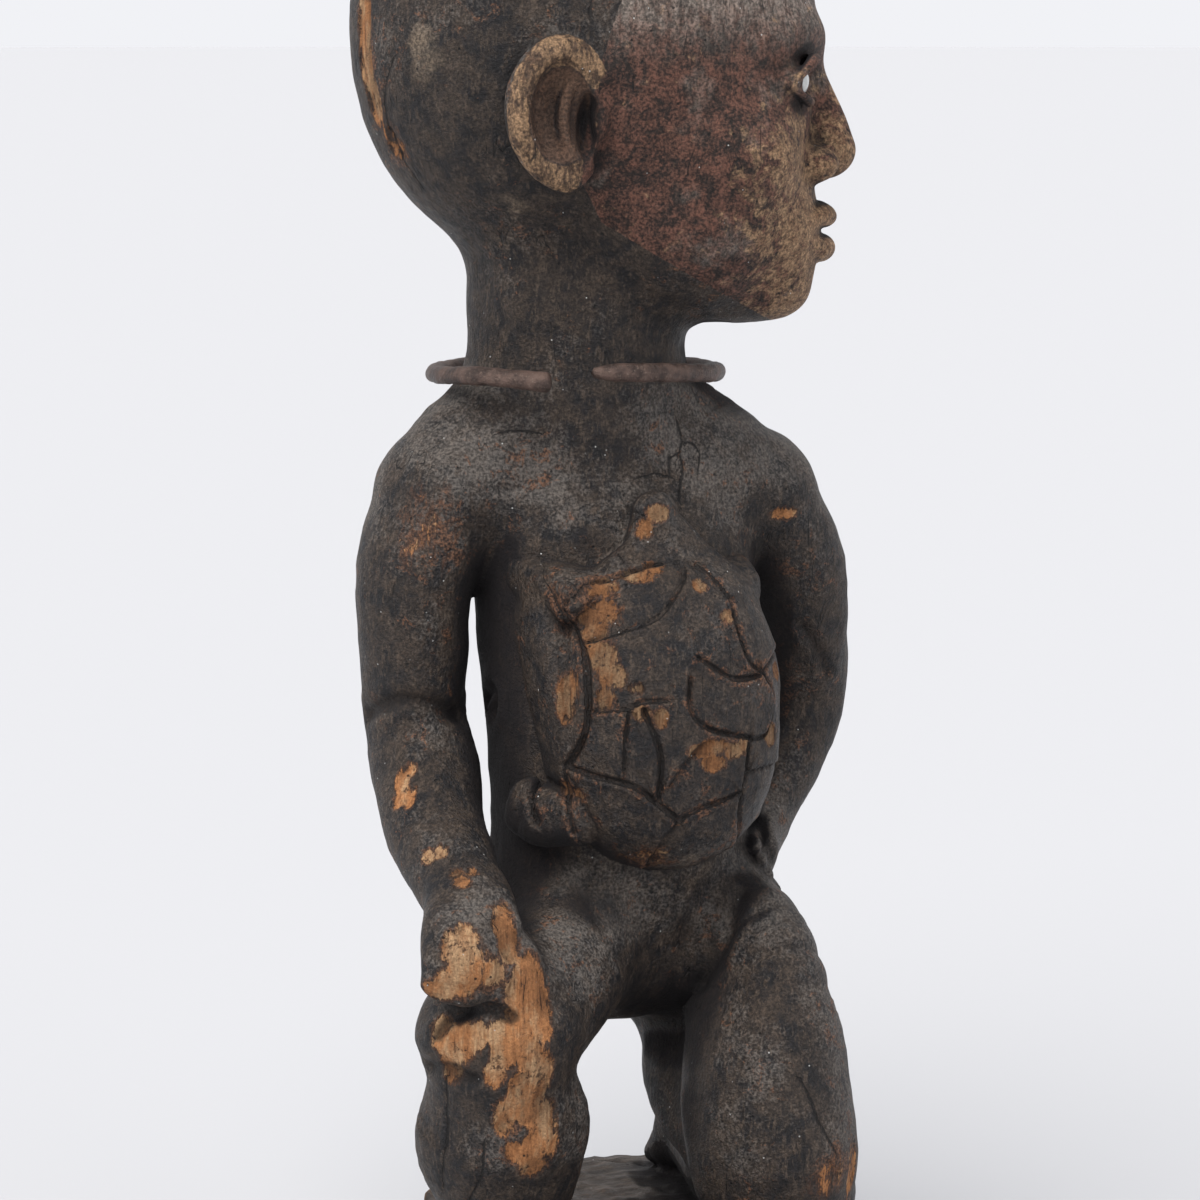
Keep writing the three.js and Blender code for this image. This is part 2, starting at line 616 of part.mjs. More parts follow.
// Evens out the triangles: each point slides by `share` towards the middle of its neighbours, along the
// skin, and is then put back on the zero of the field. Points on the flat underside stay.
function settled({ points, triangles }, forms, rounds, share) {
  const neighbours = points.map(() => new Set());
  triangles.forEach(([a, b, c]) => {
    neighbours[a].add(b).add(c);
    neighbours[b].add(c).add(a);
    neighbours[c].add(a).add(b);
  });
  for (let round = 0; round < rounds; round++) {
    points.forEach((point, at) => {
      const around = [...neighbours[at]];
      if (around.length === 0 || point[2] < 1) {
        return;
      }
      const slope = slopeAt(forms, point);
      const steepness = Math.hypot(...slope) || 1;
      const normal = slope.map((value) => value / steepness);
      const middle = point.map((_, i) => around.reduce((sum, n) => sum + points[n][i], 0) / around.length);
      const drift = middle.map((value, i) => value - point[i]);
      const lift = drift.reduce((sum, value, i) => sum + value * normal[i], 0);
      const slid = point.map((p, i) => p + share * (drift[i] - lift * normal[i]));
      const off = fieldAt(forms, slid) / Math.max(steepness, 0.5);
      points[at] = slid.map((p, i) => p - Math.min(Math.max(off, -1), 1) * normal[i]);
    });
  }
  return { points, triangles };
}

function geometryOf({ points, triangles }) {
  const geometry = new THREE.BufferGeometry();
  const corners = triangles.flat().flatMap((p) => points[p]);
  geometry.setAttribute('position', new THREE.Float32BufferAttribute(corners, 3));
  return mergeVertices(geometry, 1e-5);
}

// Joining and cutting
function solidOf(geometry) {
  const plain = geometry.clone();
  plain.deleteAttribute('normal');
  plain.deleteAttribute('uv');
  const whole = mergeVertices(plain, 1e-4);
  return new wasm.Manifold(new wasm.Mesh({
    numProp: 3,
    vertProperties: new Float32Array(whole.attributes.position.array),
    triVerts: new Uint32Array(whole.index.array),
  }));
}

function geometryFrom(solid) {
  const { vertProperties, triVerts } = solid.getMesh();
  const geometry = new THREE.BufferGeometry();
  geometry.setAttribute('position', new THREE.BufferAttribute(new Float32Array(vertProperties), 3));
  geometry.setIndex(new THREE.BufferAttribute(new Uint32Array(triVerts), 1));
  return geometry;
}

// Glass eyes
function lens(side, extra) {
  const geometry = new THREE.SphereGeometry(1, GLASS_SIDES, GLASS_RINGS);
  geometry.rotateX(Math.PI / 2);
  geometry.scale(...GLASS_HALF.map((half) => half + extra));
  geometry.rotateZ(turned);
  geometry.translate(...onHead(side * GLASS_SIDE, GLASS_FRONT, GLASS_LEVEL));
  return geometry;
}

// Neck ring
class RingCurve extends THREE.Curve {
  getPoint(t, target = new THREE.Vector3()) {
    const [start, end] = [RING_OPENING[0], 360 + RING_OPENING[1]];
    const degrees = start + (end - start) * t;
    const angle = THREE.MathUtils.degToRad(degrees);
    const rise = RING_RISE * Math.max(1 - ((degrees - start) / RING_SPRUNG) ** 2, 0) ** 2;
    const bend = RING_BEND * Math.exp(-(((degrees - RING_BEND_PLACE[0]) / RING_BEND_PLACE[1]) ** 2));
    const [toFace, toViewer] = [RING_RADIUS * Math.sin(angle), RING_RADIUS * Math.cos(angle)];
    return target.set(
      RING_CENTRE[0] + toFace * FACE[0] - toViewer * LEFT_OF_HEAD[0],
      RING_CENTRE[1] + toFace * FACE[1] - toViewer * LEFT_OF_HEAD[1],
      RING_HEIGHT + rise + bend,
    );
  }
}

// A round wire along the ring's curve. The first end narrows over RING_TAPER.
function neckRing() {
  const curve = new RingCurve();
  const section = new THREE.Shape();
  for (let i = 0; i < RING_SIDES; i++) {
    const angle = (2 * Math.PI * i) / RING_SIDES;
    section[i === 0 ? 'moveTo' : 'lineTo'](RING_WIRE * Math.cos(angle), RING_WIRE * Math.sin(angle));
  }
  section.closePath();
  const geometry = new THREE.ExtrudeGeometry(section, {
    extrudePath: curve,
    steps: RING_STEPS,
    curveSegments: 1,
  });
  geometry.deleteAttribute('normal');
  geometry.deleteAttribute('uv');
  const wire = mergeVertices(geometry, 1e-4);
  const middles = curve.getSpacedPoints(RING_STEPS);
  const place = wire.attributes.position;
  for (let i = 0; i < place.count; i++) {
    const point = new THREE.Vector3().fromBufferAttribute(place, i);
    const middle = middles.reduce((best, p) => (p.distanceTo(point) < best.distanceTo(point) ? p : best));
    const along = middle.distanceTo(middles[0]);
    const narrow = along < RING_TAPER && middle.distanceTo(middles.at(-1)) > along
      ? RING_TIP + (1 - RING_TIP) * Math.sin((Math.PI / 2) * (along / RING_TAPER))
      : 1;
    point.sub(middle).multiplyScalar(narrow).add(middle);
    place.setXYZ(i, point.x, point.y, point.z);
  }
  return wire;
}

// The object
const WOOD = new THREE.MeshStandardMaterial({ color: 0x2b211b, roughness: 0.62, metalness: 0 });
const METAL = new THREE.MeshStandardMaterial({ color: 0x5b4038, roughness: 0.5, metalness: 0.7 });
const GLASS = new THREE.MeshStandardMaterial({ color: 0xb9bdb6, roughness: 0.08, metalness: 0 });

// Small forms keep more of the triangles: the face, the ears, the tortoise and the hand.
const FACE_WEIGHT = 24;
const EAR_WEIGHT = 8;
const FINE_WEIGHT = 3;
const FINE_BOXES = [
  [[-42, -80, 132], [44, -16, 256]],
  [[-90, -80, 108], [-50, -40, 145]],
];
function importance(point) {
  const [x, y] = [point[0] - HEAD_AXIS[0], point[1] - HEAD_AXIS[1]];
  const front = x * FACE[0] + y * FACE[1];
  const aside = Math.abs(x * LEFT_OF_HEAD[0] + y * LEFT_OF_HEAD[1]);
  if (front > 46 && aside < 34 && point[2] > 312 && point[2] < 390) {
    return FACE_WEIGHT;
  }
  if (aside > 47 && point[2] > 337 && point[2] < 385) {
    return EAR_WEIGHT;
  }
  const fine = FINE_BOXES.some(([low, high]) => point.every((p, i) => p > low[i] && p < high[i]));
  return fine ? FINE_WEIGHT : 1;
}

const raw = settled(skinOf(fieldOn(figureForms, GRID_STEP)), figureForms, 2, 0.4);
const skin = settled(thinned(raw, SKIN_TRIANGLES, importance), figureForms, 2, 0.15);
let figure = solidOf(geometryOf(skin));
for (const side of [-1, 1]) {
  figure = figure.subtract(solidOf(lens(side, CLEARANCE)));
}
const figureGeometry = geometryFrom(figure);
figureGeometry.computeBoundingBox();
const { min, max } = figureGeometry.boundingBox;

const object = new THREE.Group();
object.position.set(-(min.x + max.x) / 2, -(min.y + max.y) / 2, -min.z);
const pieces = [
  ['wooden_figure', figureGeometry, WOOD],
  ['neck_ring', neckRing(), METAL],
  ['right_eye_glass', geometryFrom(solidOf(lens(-1, 0))), GLASS],
  ['left_eye_glass', geometryFrom(solidOf(lens(1, 0))), GLASS],
];
for (const [name, geometry, material] of pieces) {
  const mesh = new THREE.Mesh(geometry, material);
  mesh.name = name;
  object.add(mesh);
}

export default object;
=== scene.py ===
"""Looks of a carved wooden figure that kneels on a low base with a tortoise on its belly.

Shapes are worked out in millimetres in the carver's frame: the body faces -Y, its own left side is +X,
and the head is turned to its left. The carved wood is the zero of a field, the soft union of limbs
(rounded sections carried along a curve) and masses (ellipsoids). Tool marks, cracks and worn hollows are
then pressed into that skin along its normals, and everything is moved into the model's frame.
"""
import math
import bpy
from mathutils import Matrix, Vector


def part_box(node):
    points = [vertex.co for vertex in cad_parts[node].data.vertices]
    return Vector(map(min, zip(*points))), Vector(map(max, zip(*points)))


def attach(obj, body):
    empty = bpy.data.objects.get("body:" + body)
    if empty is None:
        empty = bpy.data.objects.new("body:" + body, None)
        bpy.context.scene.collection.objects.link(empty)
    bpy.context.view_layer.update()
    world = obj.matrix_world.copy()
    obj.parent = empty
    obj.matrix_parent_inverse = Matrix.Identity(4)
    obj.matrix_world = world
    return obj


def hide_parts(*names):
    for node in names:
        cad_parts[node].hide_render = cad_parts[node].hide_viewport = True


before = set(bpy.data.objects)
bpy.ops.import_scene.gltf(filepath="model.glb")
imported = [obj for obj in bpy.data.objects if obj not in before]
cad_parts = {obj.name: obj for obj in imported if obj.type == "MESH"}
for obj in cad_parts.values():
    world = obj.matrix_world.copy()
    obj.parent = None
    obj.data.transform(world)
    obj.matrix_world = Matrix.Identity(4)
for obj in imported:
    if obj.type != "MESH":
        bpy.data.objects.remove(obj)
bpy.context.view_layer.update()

from concurrent.futures import ThreadPoolExecutor
from functools import reduce
from itertools import product

import bpy
import numpy as np
from mathutils import Matrix

MM = 0.001
FAR = 60.0  # the field far from every form
REACH = 4.0  # how far beyond its blend a form is still worked out
CORNERS = list(product((0, 1), repeat=3))

HEAD_TURN = math.radians(66)
FACE = np.array([math.sin(HEAD_TURN), -math.cos(HEAD_TURN), 0.0])
LEFT = np.array([math.cos(HEAD_TURN), math.sin(HEAD_TURN), 0.0])
HEAD_AXIS = np.array([-5.5, 2.4, 0.0])
UPRIGHT = (0, 0, 1)
EYE = (20.5, 60.2, 370)  # middle of the left eye's glass: left, front and height on the head
RING_MIDDLE = (-8.99, 3.556)  # middle of the ring's box in the carver's frame

ring_low, ring_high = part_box("neck_ring")
SHIFT = np.array([
    (ring_low.x + ring_high.x) / 2 / MM - RING_MIDDLE[0],
    (ring_low.y + ring_high.y) / 2 / MM - RING_MIDDLE[1],
    0.0,
])


def on_head(rows, side=1):
    """Rows of (left, front, height, ...) on the head as (x, y, z, ...). side -1 mirrors left and right."""
    placed = []
    for left, front, height, *rest in rows:
        point = HEAD_AXIS + side * left * LEFT + front * FACE
        placed.append((point[0], point[1], height, *rest))
    return placed


# The field and its forms

def smooth_min(a, b, blend):
    """The lesser of a and b, lowered by blend/4 where they are equal and not at all where they differ
    by blend."""
    h = np.maximum(blend - np.abs(a - b), 0) / blend
    return np.minimum(a, b) - h * h * blend * 0.25


def rounded(u, v, w, gu, gv, gw, power):
    """Near distance to the unit superellipsoid |u|^p + |v|^p + |w|^p = 1 whose axes scale by gu/u, gv/v
    and gw/w."""
    if power == 2:
        size = np.sqrt(u * u + v * v + w * w)
    else:
        size = (np.abs(u) ** power + np.abs(v) ** power + np.abs(w) ** power) ** (1 / power)
    slope = np.sqrt(gu * gu + gv * gv + gw * gw) + 1e-6
    return (size - 1) * (np.sqrt(u * u + v * v + w * w) + 1e-6) / slope


def curve_through(rows, per=4):
    """Catmull-Rom curve through the rows, with `per` pieces between two of them."""
    rows = np.asarray(rows, float)
    padded = np.vstack([2 * rows[0] - rows[1], rows, 2 * rows[-1] - rows[-2]])
    t = (np.arange(per) / per)[:, None]
    pieces = []
    for a, b, c, d in zip(padded, padded[1:], padded[2:], padded[3:]):
        bend, twist = 2 * a - 5 * b + 4 * c - d, 3 * b - a - 3 * c + d
        pieces.append(0.5 * (2 * b + (c - a) * t + bend * t ** 2 + twist * t ** 3))
    return np.vstack(pieces + [rows[-1:]]).astype(np.float32)


def nearest_on(points, path, normals=None):
    """For each point the place along the path (piece + share) that is nearest, and the squared distance.
    With normals, the distance is measured along the skin: its part along the normal is left out."""
    gap = np.full(len(points), 1e9, np.float32)
    where = np.zeros(len(points), np.float32)
    for i, (a, b) in enumerate(zip(path, path[1:])):
        way = b[:3] - a[:3]
        off = points - a[:3]
        t = np.clip(off @ way / (way @ way), 0, 1)
        off -= t[:, None] * way
        far = np.einsum("ij,ij->i", off, off)
        if normals is not None:
            far -= np.einsum("ij,ij->i", off, normals) ** 2
        closer = far < gap
        gap[closer] = far[closer]
        where[closer] = (i + t)[closer]
    return where, gap


def limb(rows, blend, side=(1, 0, 0), power=2, grow=0.0, hollow=False):
    """Rounded section (half width along `side`, half depth across it) carried along a curve, with round ends.
    Rows are x, y, z, half width, half depth. grow thickens it."""
    path = curve_through(rows)
    path[:, 3:] += grow
    reach = path[:, 3:].max(1)[:, None]
    along = np.gradient(path[:, :3], axis=0)
    along /= np.linalg.norm(along, axis=1)[:, None]
    steps = np.arange(len(path))
    side = np.asarray(side, np.float32)

    def value(points):
        where, _ = nearest_on(points, path)
        at = np.stack([np.interp(where, steps, path[:, j]) for j in range(5)], 1).astype(np.float32)
        way = np.stack([np.interp(where, steps, along[:, j]) for j in range(3)], 1).astype(np.float32)
        way /= np.linalg.norm(way, axis=1)[:, None]
        across = side - (way @ side)[:, None] * way
        across /= np.linalg.norm(across, axis=1)[:, None]
        deep = np.cross(way, across)
        off = points - at[:, :3]
        u, v, w = [np.einsum("ij,ij->i", off, axis) for axis in (across, deep, way)]
        a, b = at[:, 3], at[:, 4]
        end = np.minimum(a, b)
        return rounded(u / a, v / b, w / end, u / a ** 2, v / b ** 2, w / end ** 2, power)

    return dict(low=(path[:, :3] - reach).min(0), high=(path[:, :3] + reach).max(0), blend=blend,
                value=value, hollow=hollow)


def mass(centre, radii, blend, power=2, head=False, hollow=False, grow=0.0):
    """Ellipsoid of three radii, or of six that give each half of each axis its own. On the head the axes
    are the head's (left, back, up)."""
    centre = np.asarray(centre, np.float32)
    axes = np.array([LEFT, -FACE, UPRIGHT] if head else np.eye(3), np.float32)
    six = np.repeat(radii, 2) if len(radii) == 3 else np.asarray(radii, float)
    six = (six + grow).astype(np.float32)
    reach = six.max() * 1.2

    def value(points):
        local = (points - centre) @ axes.T
        radius = np.where(local < 0, six[0::2], six[1::2])
        scaled = local / radius
        return rounded(*scaled.T, *(scaled / radius).T, power)

    return dict(low=centre - reach, high=centre + reach, blend=blend, value=value, hollow=hollow)


def block(centre, half, height, turn, power, edge, blend):
    """Upright block with a superellipse outline and rounded rims."""
    c, s = math.cos(math.radians(turn)), math.sin(math.radians(turn))

    def value(points):
        x, y = points[:, 0] - centre[0], points[:, 1] - centre[1]
        u, v = (c * x + s * y) / half[0], (c * y - s * x) / half[1]
        outward = ((np.abs(u) ** power + np.abs(v) ** power) ** (1 / power) - 1) * min(half)
        upward = np.abs(points[:, 2] - height / 2) - height / 2
        corner = np.maximum(edge - np.abs(outward - upward), 0)
        return np.maximum(outward, upward) + corner ** 2 / (4 * edge)

    reach = max(half) + 6
    low = np.array([centre[0] - reach, centre[1] - reach, -1], np.float32)
    high = np.array([centre[0] + reach, centre[1] + reach, height + 1], np.float32)
    return dict(low=low, high=high, blend=blend, value=value, hollow=False)


def field_at(points, forms):
    """The soft union of the forms at the points. A hollow form is taken away instead."""
    found = np.full(len(points), FAR, np.float32)
    for form in forms:
        reach = form["blend"] + REACH
        near = np.all((points > form["low"] - reach) & (points < form["high"] + reach), axis=1)
        if not near.any():
            continue
        own = form["value"](points[near])
        old = found[near]
        if form["hollow"]:
            found[near] = -smooth_min(-old, own, form["blend"])
        else:
            found[near] = smooth_min(old, own, form["blend"])
    return found


def in_chunks(work, points, size=120000):
    """work(points) done on slices side by side, and put back together."""
    slices = [points[i:i + size] for i in range(0, len(points), size)]
    with ThreadPoolExecutor(4) as pool:
        return np.concatenate(list(pool.map(work, slices)))


# The figure's forms: the same sizes as its solid

def trunk_forms():
    """Torso, neck and both shoulders."""
    return [
        limb([(0, -6, 116, 36, 27), (0, -7, 132, 41, 30), (0, -8, 150, 39, 31), (-1.3, -9, 185, 40, 33),
              (0, -3, 222, 43, 33), (0, 2, 248, 47, 30), (-3, 4, 264, 41, 27), (-7, 4, 279, 30, 26)],
             8, power=2.2),
        limb([(-8, 4, 270, 31, 31), (-9, 4.5, 290, 32, 32), (-9, 5, 306, 32.3, 32.3),
              (-9, 5.5, 321, 31, 31)], 8, side=LEFT),
        limb([(-14, 6, 266, 20, 21), (-36, 6, 262, 20, 23), (-50, 5, 251, 19, 21.5)], 12, side=UPRIGHT),
        limb([(14, 4, 258, 19, 20), (32, 3, 254, 19.5, 22), (48.5, 3, 246, 18.5, 23)], 10, side=UPRIGHT),
    ]


def arm_forms():
    """Both arms, and the right hand that lies on the knee."""
    return [
        limb([(-52.5, 4, 248, 19, 22), (-60.5, 3.5, 226, 17.5, 20), (-61.5, 4, 200, 15.5, 18),
              (-60.5, 5, 182, 14.5, 17), (-60.5, -2.5, 168.5, 16, 17), (-63, -18, 153, 15, 14.5),
              (-64, -33, 143.5, 13.5, 13), (-64.5, -45.5, 137, 12, 11.5)], 4),
        limb([(50, 3, 245, 18, 22), (62.5, 4, 222, 17, 20), (67, 8, 200, 15.5, 18), (69.5, 12, 184, 15.5, 16),
              (66, 11, 169, 14.5, 15), (55, 4, 153, 12.5, 13), (44, -4, 139, 11, 12)], 4),
    ]


def hand_forms():
    """Right hand and thumb, with the swelling of wood between the palm and the knee."""
    return [
        mass((-57, -57, 119), (10, 12.5, 13), 7),
        limb([(-64, -46, 137.5, 12, 11), (-70, -57, 131, 12.5, 10), (-73, -63, 123, 12.5, 8),
              (-74.5, -63.5, 116.5, 12, 5)], 4),
        limb([(-59, -54.5, 137.5, 4.5, 5), (-58.5, -61.5, 133, 4, 4.5)], 4),
    ]


def leg_forms():
    """Raised right leg, kneeling left leg, feet and buttocks."""
    return [
        limb([(-20, 2, 116, 26, 26), (-27.5, -27, 113.5, 22, 22), (-45.5, -41, 104, 23, 22),
              (-53, -46.5, 98.5, 22, 22)], 10, side=UPRIGHT),
        limb([(-56.5, -47.5, 97.5, 24, 21), (-56, -47.5, 86.5, 20.5, 20), (-52.5, -42.5, 73, 25.2, 23),
              (-51.2, -38.5, 60.5, 25.2, 22), (-47.5, -33.5, 44, 19, 19), (-44, -28.5, 32, 13, 14)], 6),
        limb([(-41, -22, 32, 9, 12), (-45, -42, 32, 9, 13), (-49, -63, 29, 6, 15)], 6, side=UPRIGHT),
        limb([(22, 4, 114, 24, 27), (33, -30, 107, 17, 27), (33, -38.5, 91.5, 22, 28),
              (31.5, -44.5, 71.5, 25, 27), (32.5, -47.5, 53.5, 25.7, 25), (35.5, -46, 39, 24, 21)], 8),
        limb([(33, 2, 80, 19.5, 19), (31.5, -8.5, 64, 20.5, 20), (33, -24, 52, 18, 18)], 8),
        limb([(35, -44, 38, 14, 18), (41, -14, 38, 15, 19), (46, 12, 36, 13, 16), (48, 32, 36, 11, 13)], 7,
             side=UPRIGHT),
        limb([(46, 31, 60, 12, 11), (47.5, 37, 46, 13, 10), (48.5, 43, 31, 14, 8)], 6),
        mass((-19, 14, 114), (24, 22, 22), 14),
        mass((21, 16, 110), (24, 23, 24), 14),
    ]


TORTOISE_X = 1.0
TORTOISE_SIDES = (-1, 0.86)  # its half on the figure's left, +X, is a little narrower
SET_BACK = 4.5  # and its flippers there lie deeper


def tortoise_forms(grow=0.0):
    """Shell, head on its flaring neck, the two front flippers and the two hind feet."""
    forms = [
        mass((TORTOISE_X, -38, 187), (35, 25, 47), 3, power=2.3, grow=grow),
        limb([(2, -36, 222, 13, 10), (0, -34, 236, 9, 8), (-1, -35, 246, 6, 6)], 3, grow=grow),
        limb([(0, -33, 244, 6, 5), (1, -34.5, 237, 12, 7.5), (1, -36, 229, 22, 9.5), (1, -38, 221, 29, 12)],
             3, power=2.6, grow=grow),
    ]
    for side in TORTOISE_SIDES:
        def reached(rows, side=side):
            behind = SET_BACK * (side > 0)
            return [(TORTOISE_X + side * out, back + behind, *rest) for out, back, *rest in rows]

        forms += [
            limb(reached([(29, -14.5, 225, 9, 12), (31.5, -22, 214.5, 8.5, 13), (31.8, -29, 201, 7.5, 13),
                          (31.5, -34, 187, 6.5, 12), (29.5, -34.5, 172.5, 5.5, 11)]), 1.2, power=3,
                 grow=grow),
            limb(reached([(25.5, -38, 222, 7.5, 10), (30, -17, 226.5, 7, 11)]), 2, side=UPRIGHT, power=3,
                 grow=grow),
            limb(reached([(27, -36.5, 158, 9, 10), (33.5, -28, 157.5, 9.5, 9.5),
                          (36, -25, 158.5, 9, 8)]), 1.2, side=UPRIGHT, power=2.6, grow=grow),
        ]
    return forms


def head_mass(left, front, height, radii, blend, **options):
    """An ellipsoid placed in the head's own frame."""
    return mass(on_head([(left, front, height)])[0], radii, blend, head=True, **options)


def head_limb(rows, blend, side=UPRIGHT, mirror=1, **options):
    """A limb placed in the head's own frame."""
    return limb(on_head(rows, mirror), blend, side=side, **options)


def head_forms():
    """Cranium, face and ears, with lids, nostrils and lips that are finer than the solid's."""
    forms = [
        head_mass(0, -8, 386, (53, 53, 75, 62.2, 71.5, 61), 10, power=2.1),
        head_mass(0, 28, 347, (43, 43, 37, 40, 47, 50), 10, power=2.4),
        head_mass(0, 50, 310, (16, 16, 16, 20, 11, 14), 9, power=2.2),
        head_mass(-30, 42, 350, (13, 16, 13), 10),
        head_mass(30, 42, 350, (13, 16, 13), 10),
        head_limb([(-28, 52, 381, 5, 5), (-14, 62, 384, 5, 5), (0, 64, 381, 5, 5), (14, 62, 384, 5, 5),
                   (28, 52, 381, 5, 5)], 7),
    ]
    for side in (-1, 1):
        forms += [
            head_mass(side * 21, 68, 370, (13, 9, 8), 5, hollow=True),
            head_mass(side * 21, 56, 370, (11, 8, 7.5), 2),
        ]
    forms += [
        head_limb([(0, 62, 375, 5, 6), (0, 67, 360, 6, 8), (0, 70, 349, 8, 9)], 4, side=LEFT),
        head_mass(-9.5, 65.5, 345.5, (6, 8, 5.5), 3),
        head_mass(9.5, 65.5, 345.5, (6, 8, 5.5), 3),
        head_mass(0, 56.5, 326, (23, 12, 15), 8),
        head_limb([(-19, 59, 326.6, 1.8, 3), (-8, 67, 330.4, 3.7, 4.6), (0, 69, 329.8, 3.4, 4.6),
                   (8, 67, 330.4, 3.7, 4.6), (19, 59, 326.6, 1.8, 3)], 1.2),
        head_limb([(-18, 59, 325, 1.8, 3), (0, 68.5, 320.6, 4.3, 4.8), (18, 59, 325, 1.8, 3)], 1.2),
    ]
    for side in (-1, 1):
        forms += [
            head_mass(side * 50, -7, 361, (8, 11.5, 18), 4),
            head_limb([(50, 4, 373, 3, 3), (53, -4, 379, 3.6, 3.6), (55.5, -12, 378.5, 4, 4),
                       (57, -18.5, 369, 4.2, 4), (57, -19, 358, 4.2, 4), (54.5, -14, 348, 4, 4),
                       (51, -6, 342.5, 3.6, 3.6), (50, -1, 346, 3, 3)], 3, side=LEFT, mirror=side),
            head_mass(side * 59, -6, 361, (5.5, 8, 13.5), 2, hollow=True),
        ]
    return forms + face_detail_forms()


def face_detail_forms():
    """Eyelids, the seats of the eye glass, nostrils, the groove above the lip, and the ears' inner folds."""
    forms = []
    for side in (-1, 1):
        forms += [
            head_limb([(10.5, 60, 369.5, 1.2, 1.2), (14.5, 64, 374, 1.7, 1.9), (21, 65.6, 376.3, 1.9, 2.1),
                       (27, 63.4, 374, 1.7, 1.9), (31.5, 58.5, 369, 1.2, 1.3)], 1.2, mirror=side),
            head_limb([(11, 60, 369, 1.1, 1.2), (15, 63, 365.6, 1.4, 1.6), (21, 64.3, 364, 1.5, 1.7),
                       (27, 62.4, 365.6, 1.4, 1.6), (31, 58.5, 369, 1.1, 1.2)], 1.2, mirror=side),
            head_mass(side * EYE[0], EYE[1], EYE[2], (7.6, 4.6, 5.3), 0.6, hollow=True),
            head_mass(side * 5.6, 71.5, 341.6, (2.6, 4.2, 2.6), 1, hollow=True),
            head_mass(side * 57.5, -5.5, 362, (5.5, 9, 14), 1.6, hollow=True),
            head_mass(side * 55, 0, 358, (7.5, 3.6, 9.5), 1.6, hollow=True),
            head_limb([(50, -2.5, 373, 2, 1.6), (52, -5.5, 368, 2.6, 1.9), (52.5, -7, 360, 2.8, 2.1),
                       (52, -5.5, 352, 2.6, 1.9), (51, -2, 346.5, 2, 1.6)], 1.6, side=LEFT, mirror=side),
            head_mass(side * 49.5, 3.6, 360, (2.6, 2.2, 5), 1.6),
        ]
    lip_groove = head_limb([(0, 71, 339, 1.6, 1.4), (0, 70.5, 334, 1.9, 1.6)], 1.5, side=LEFT, hollow=True)
    return forms + [lip_groove]


def finger_forms():
    """Toes of both feet and the left hand on the hip, which the solid leaves plain."""
    forms = []
    for along in (0, 0.25, 0.5, 0.75, 1):
        right_x, left_x = -57 + 15.5 * along, 38 + 20 * along
        forms += [
            limb([(right_x, -64 + 5 * abs(along - 0.35), 29.5, 3.3, 4.2),
                  (right_x - 1.5 + 0.5 * along, -74 + 9 * abs(along - 0.3), 28.5, 2.9, 3.6)],
                 1.5, side=UPRIGHT),
            limb([(left_x, 44, 33, 3.0, 4.5), (left_x, 49.5, 28, 2.8, 3.6)], 1.5),
        ]
    forms.append(limb([(49, -3, 143, 8, 10.5), (46.5, -10, 139, 6, 10.5), (44.5, -16, 136, 4.5, 9.5)], 3))
    fingers = [(42, 38, 36.5), (43.5, 40.5, 38.5), (44.5, 42.5, 41), (45.5, 44.5, 44)]
    for i, (knuckle, joint, tip) in enumerate(fingers):
        forms.append(limb([(knuckle, -13, 143 - 5 * i, 3.3, 3), (joint, -20, 142.5 - 5 * i, 3.1, 2.8),
                           (tip, -26 + 0.5 * i, 142 - 5 * i, 2.7, 2.4)], 1.8, side=UPRIGHT))
    forms.append(limb([(47, -6, 150, 3.6, 3.6), (41.5, -14, 152, 3.2, 3.2), (38.5, -20, 151, 2.7, 2.7)], 2))
    return forms


def base_forms():
    """Low block under the knees and feet."""
    return [block((4, -8), (60, 84), 24, -14, 3.5, 4, 3)]


# From field to skin

def near_grid(forms, cell, band, chunk=5):
    """The field on a regular grid, closed by flat cuts at both heights of the band. Coarse blocks that the
    skin can't cross only keep their sign."""
    low = np.min([form["low"] for form in forms], 0) - 3 * cell
    high = np.max([form["high"] for form in forms], 0) + 3 * cell
    low[2], high[2] = max(low[2], band[0] - 3 * cell), min(high[2], band[1] + 3 * cell)

    def cut_field(points):
        outside = np.maximum(band[0] - points[:, 2], points[:, 2] - band[1])
        return np.maximum(field_at(points, forms), outside)

    coarse = chunk * cell
    count = np.ceil((high - low) / coarse).astype(int) + 1
    axes = [low[i] + coarse * np.arange(count[i]) for i in range(3)]
    nodes = np.stack(np.meshgrid(*axes, indexing="ij"), -1).reshape(-1, 3).astype(np.float32)
    rough = in_chunks(cut_field, nodes).reshape(count)
    near = np.zeros(count - 1, bool)
    for i, j, k in CORNERS:
        corner = rough[i:count[0] - 1 + i, j:count[1] - 1 + j, k:count[2] - 1 + k]
        near |= np.abs(corner) < 1.05 * coarse
    spread = np.ones((chunk, chunk, chunk), bool)
    fine = np.kron(rough[:-1, :-1, :-1], spread).astype(np.float32)
    inner = np.argwhere(np.kron(near, spread))
    points = (low + inner * cell).astype(np.float32)
    fine[tuple(inner.T)] = in_chunks(cut_field, points)
    return low, fine


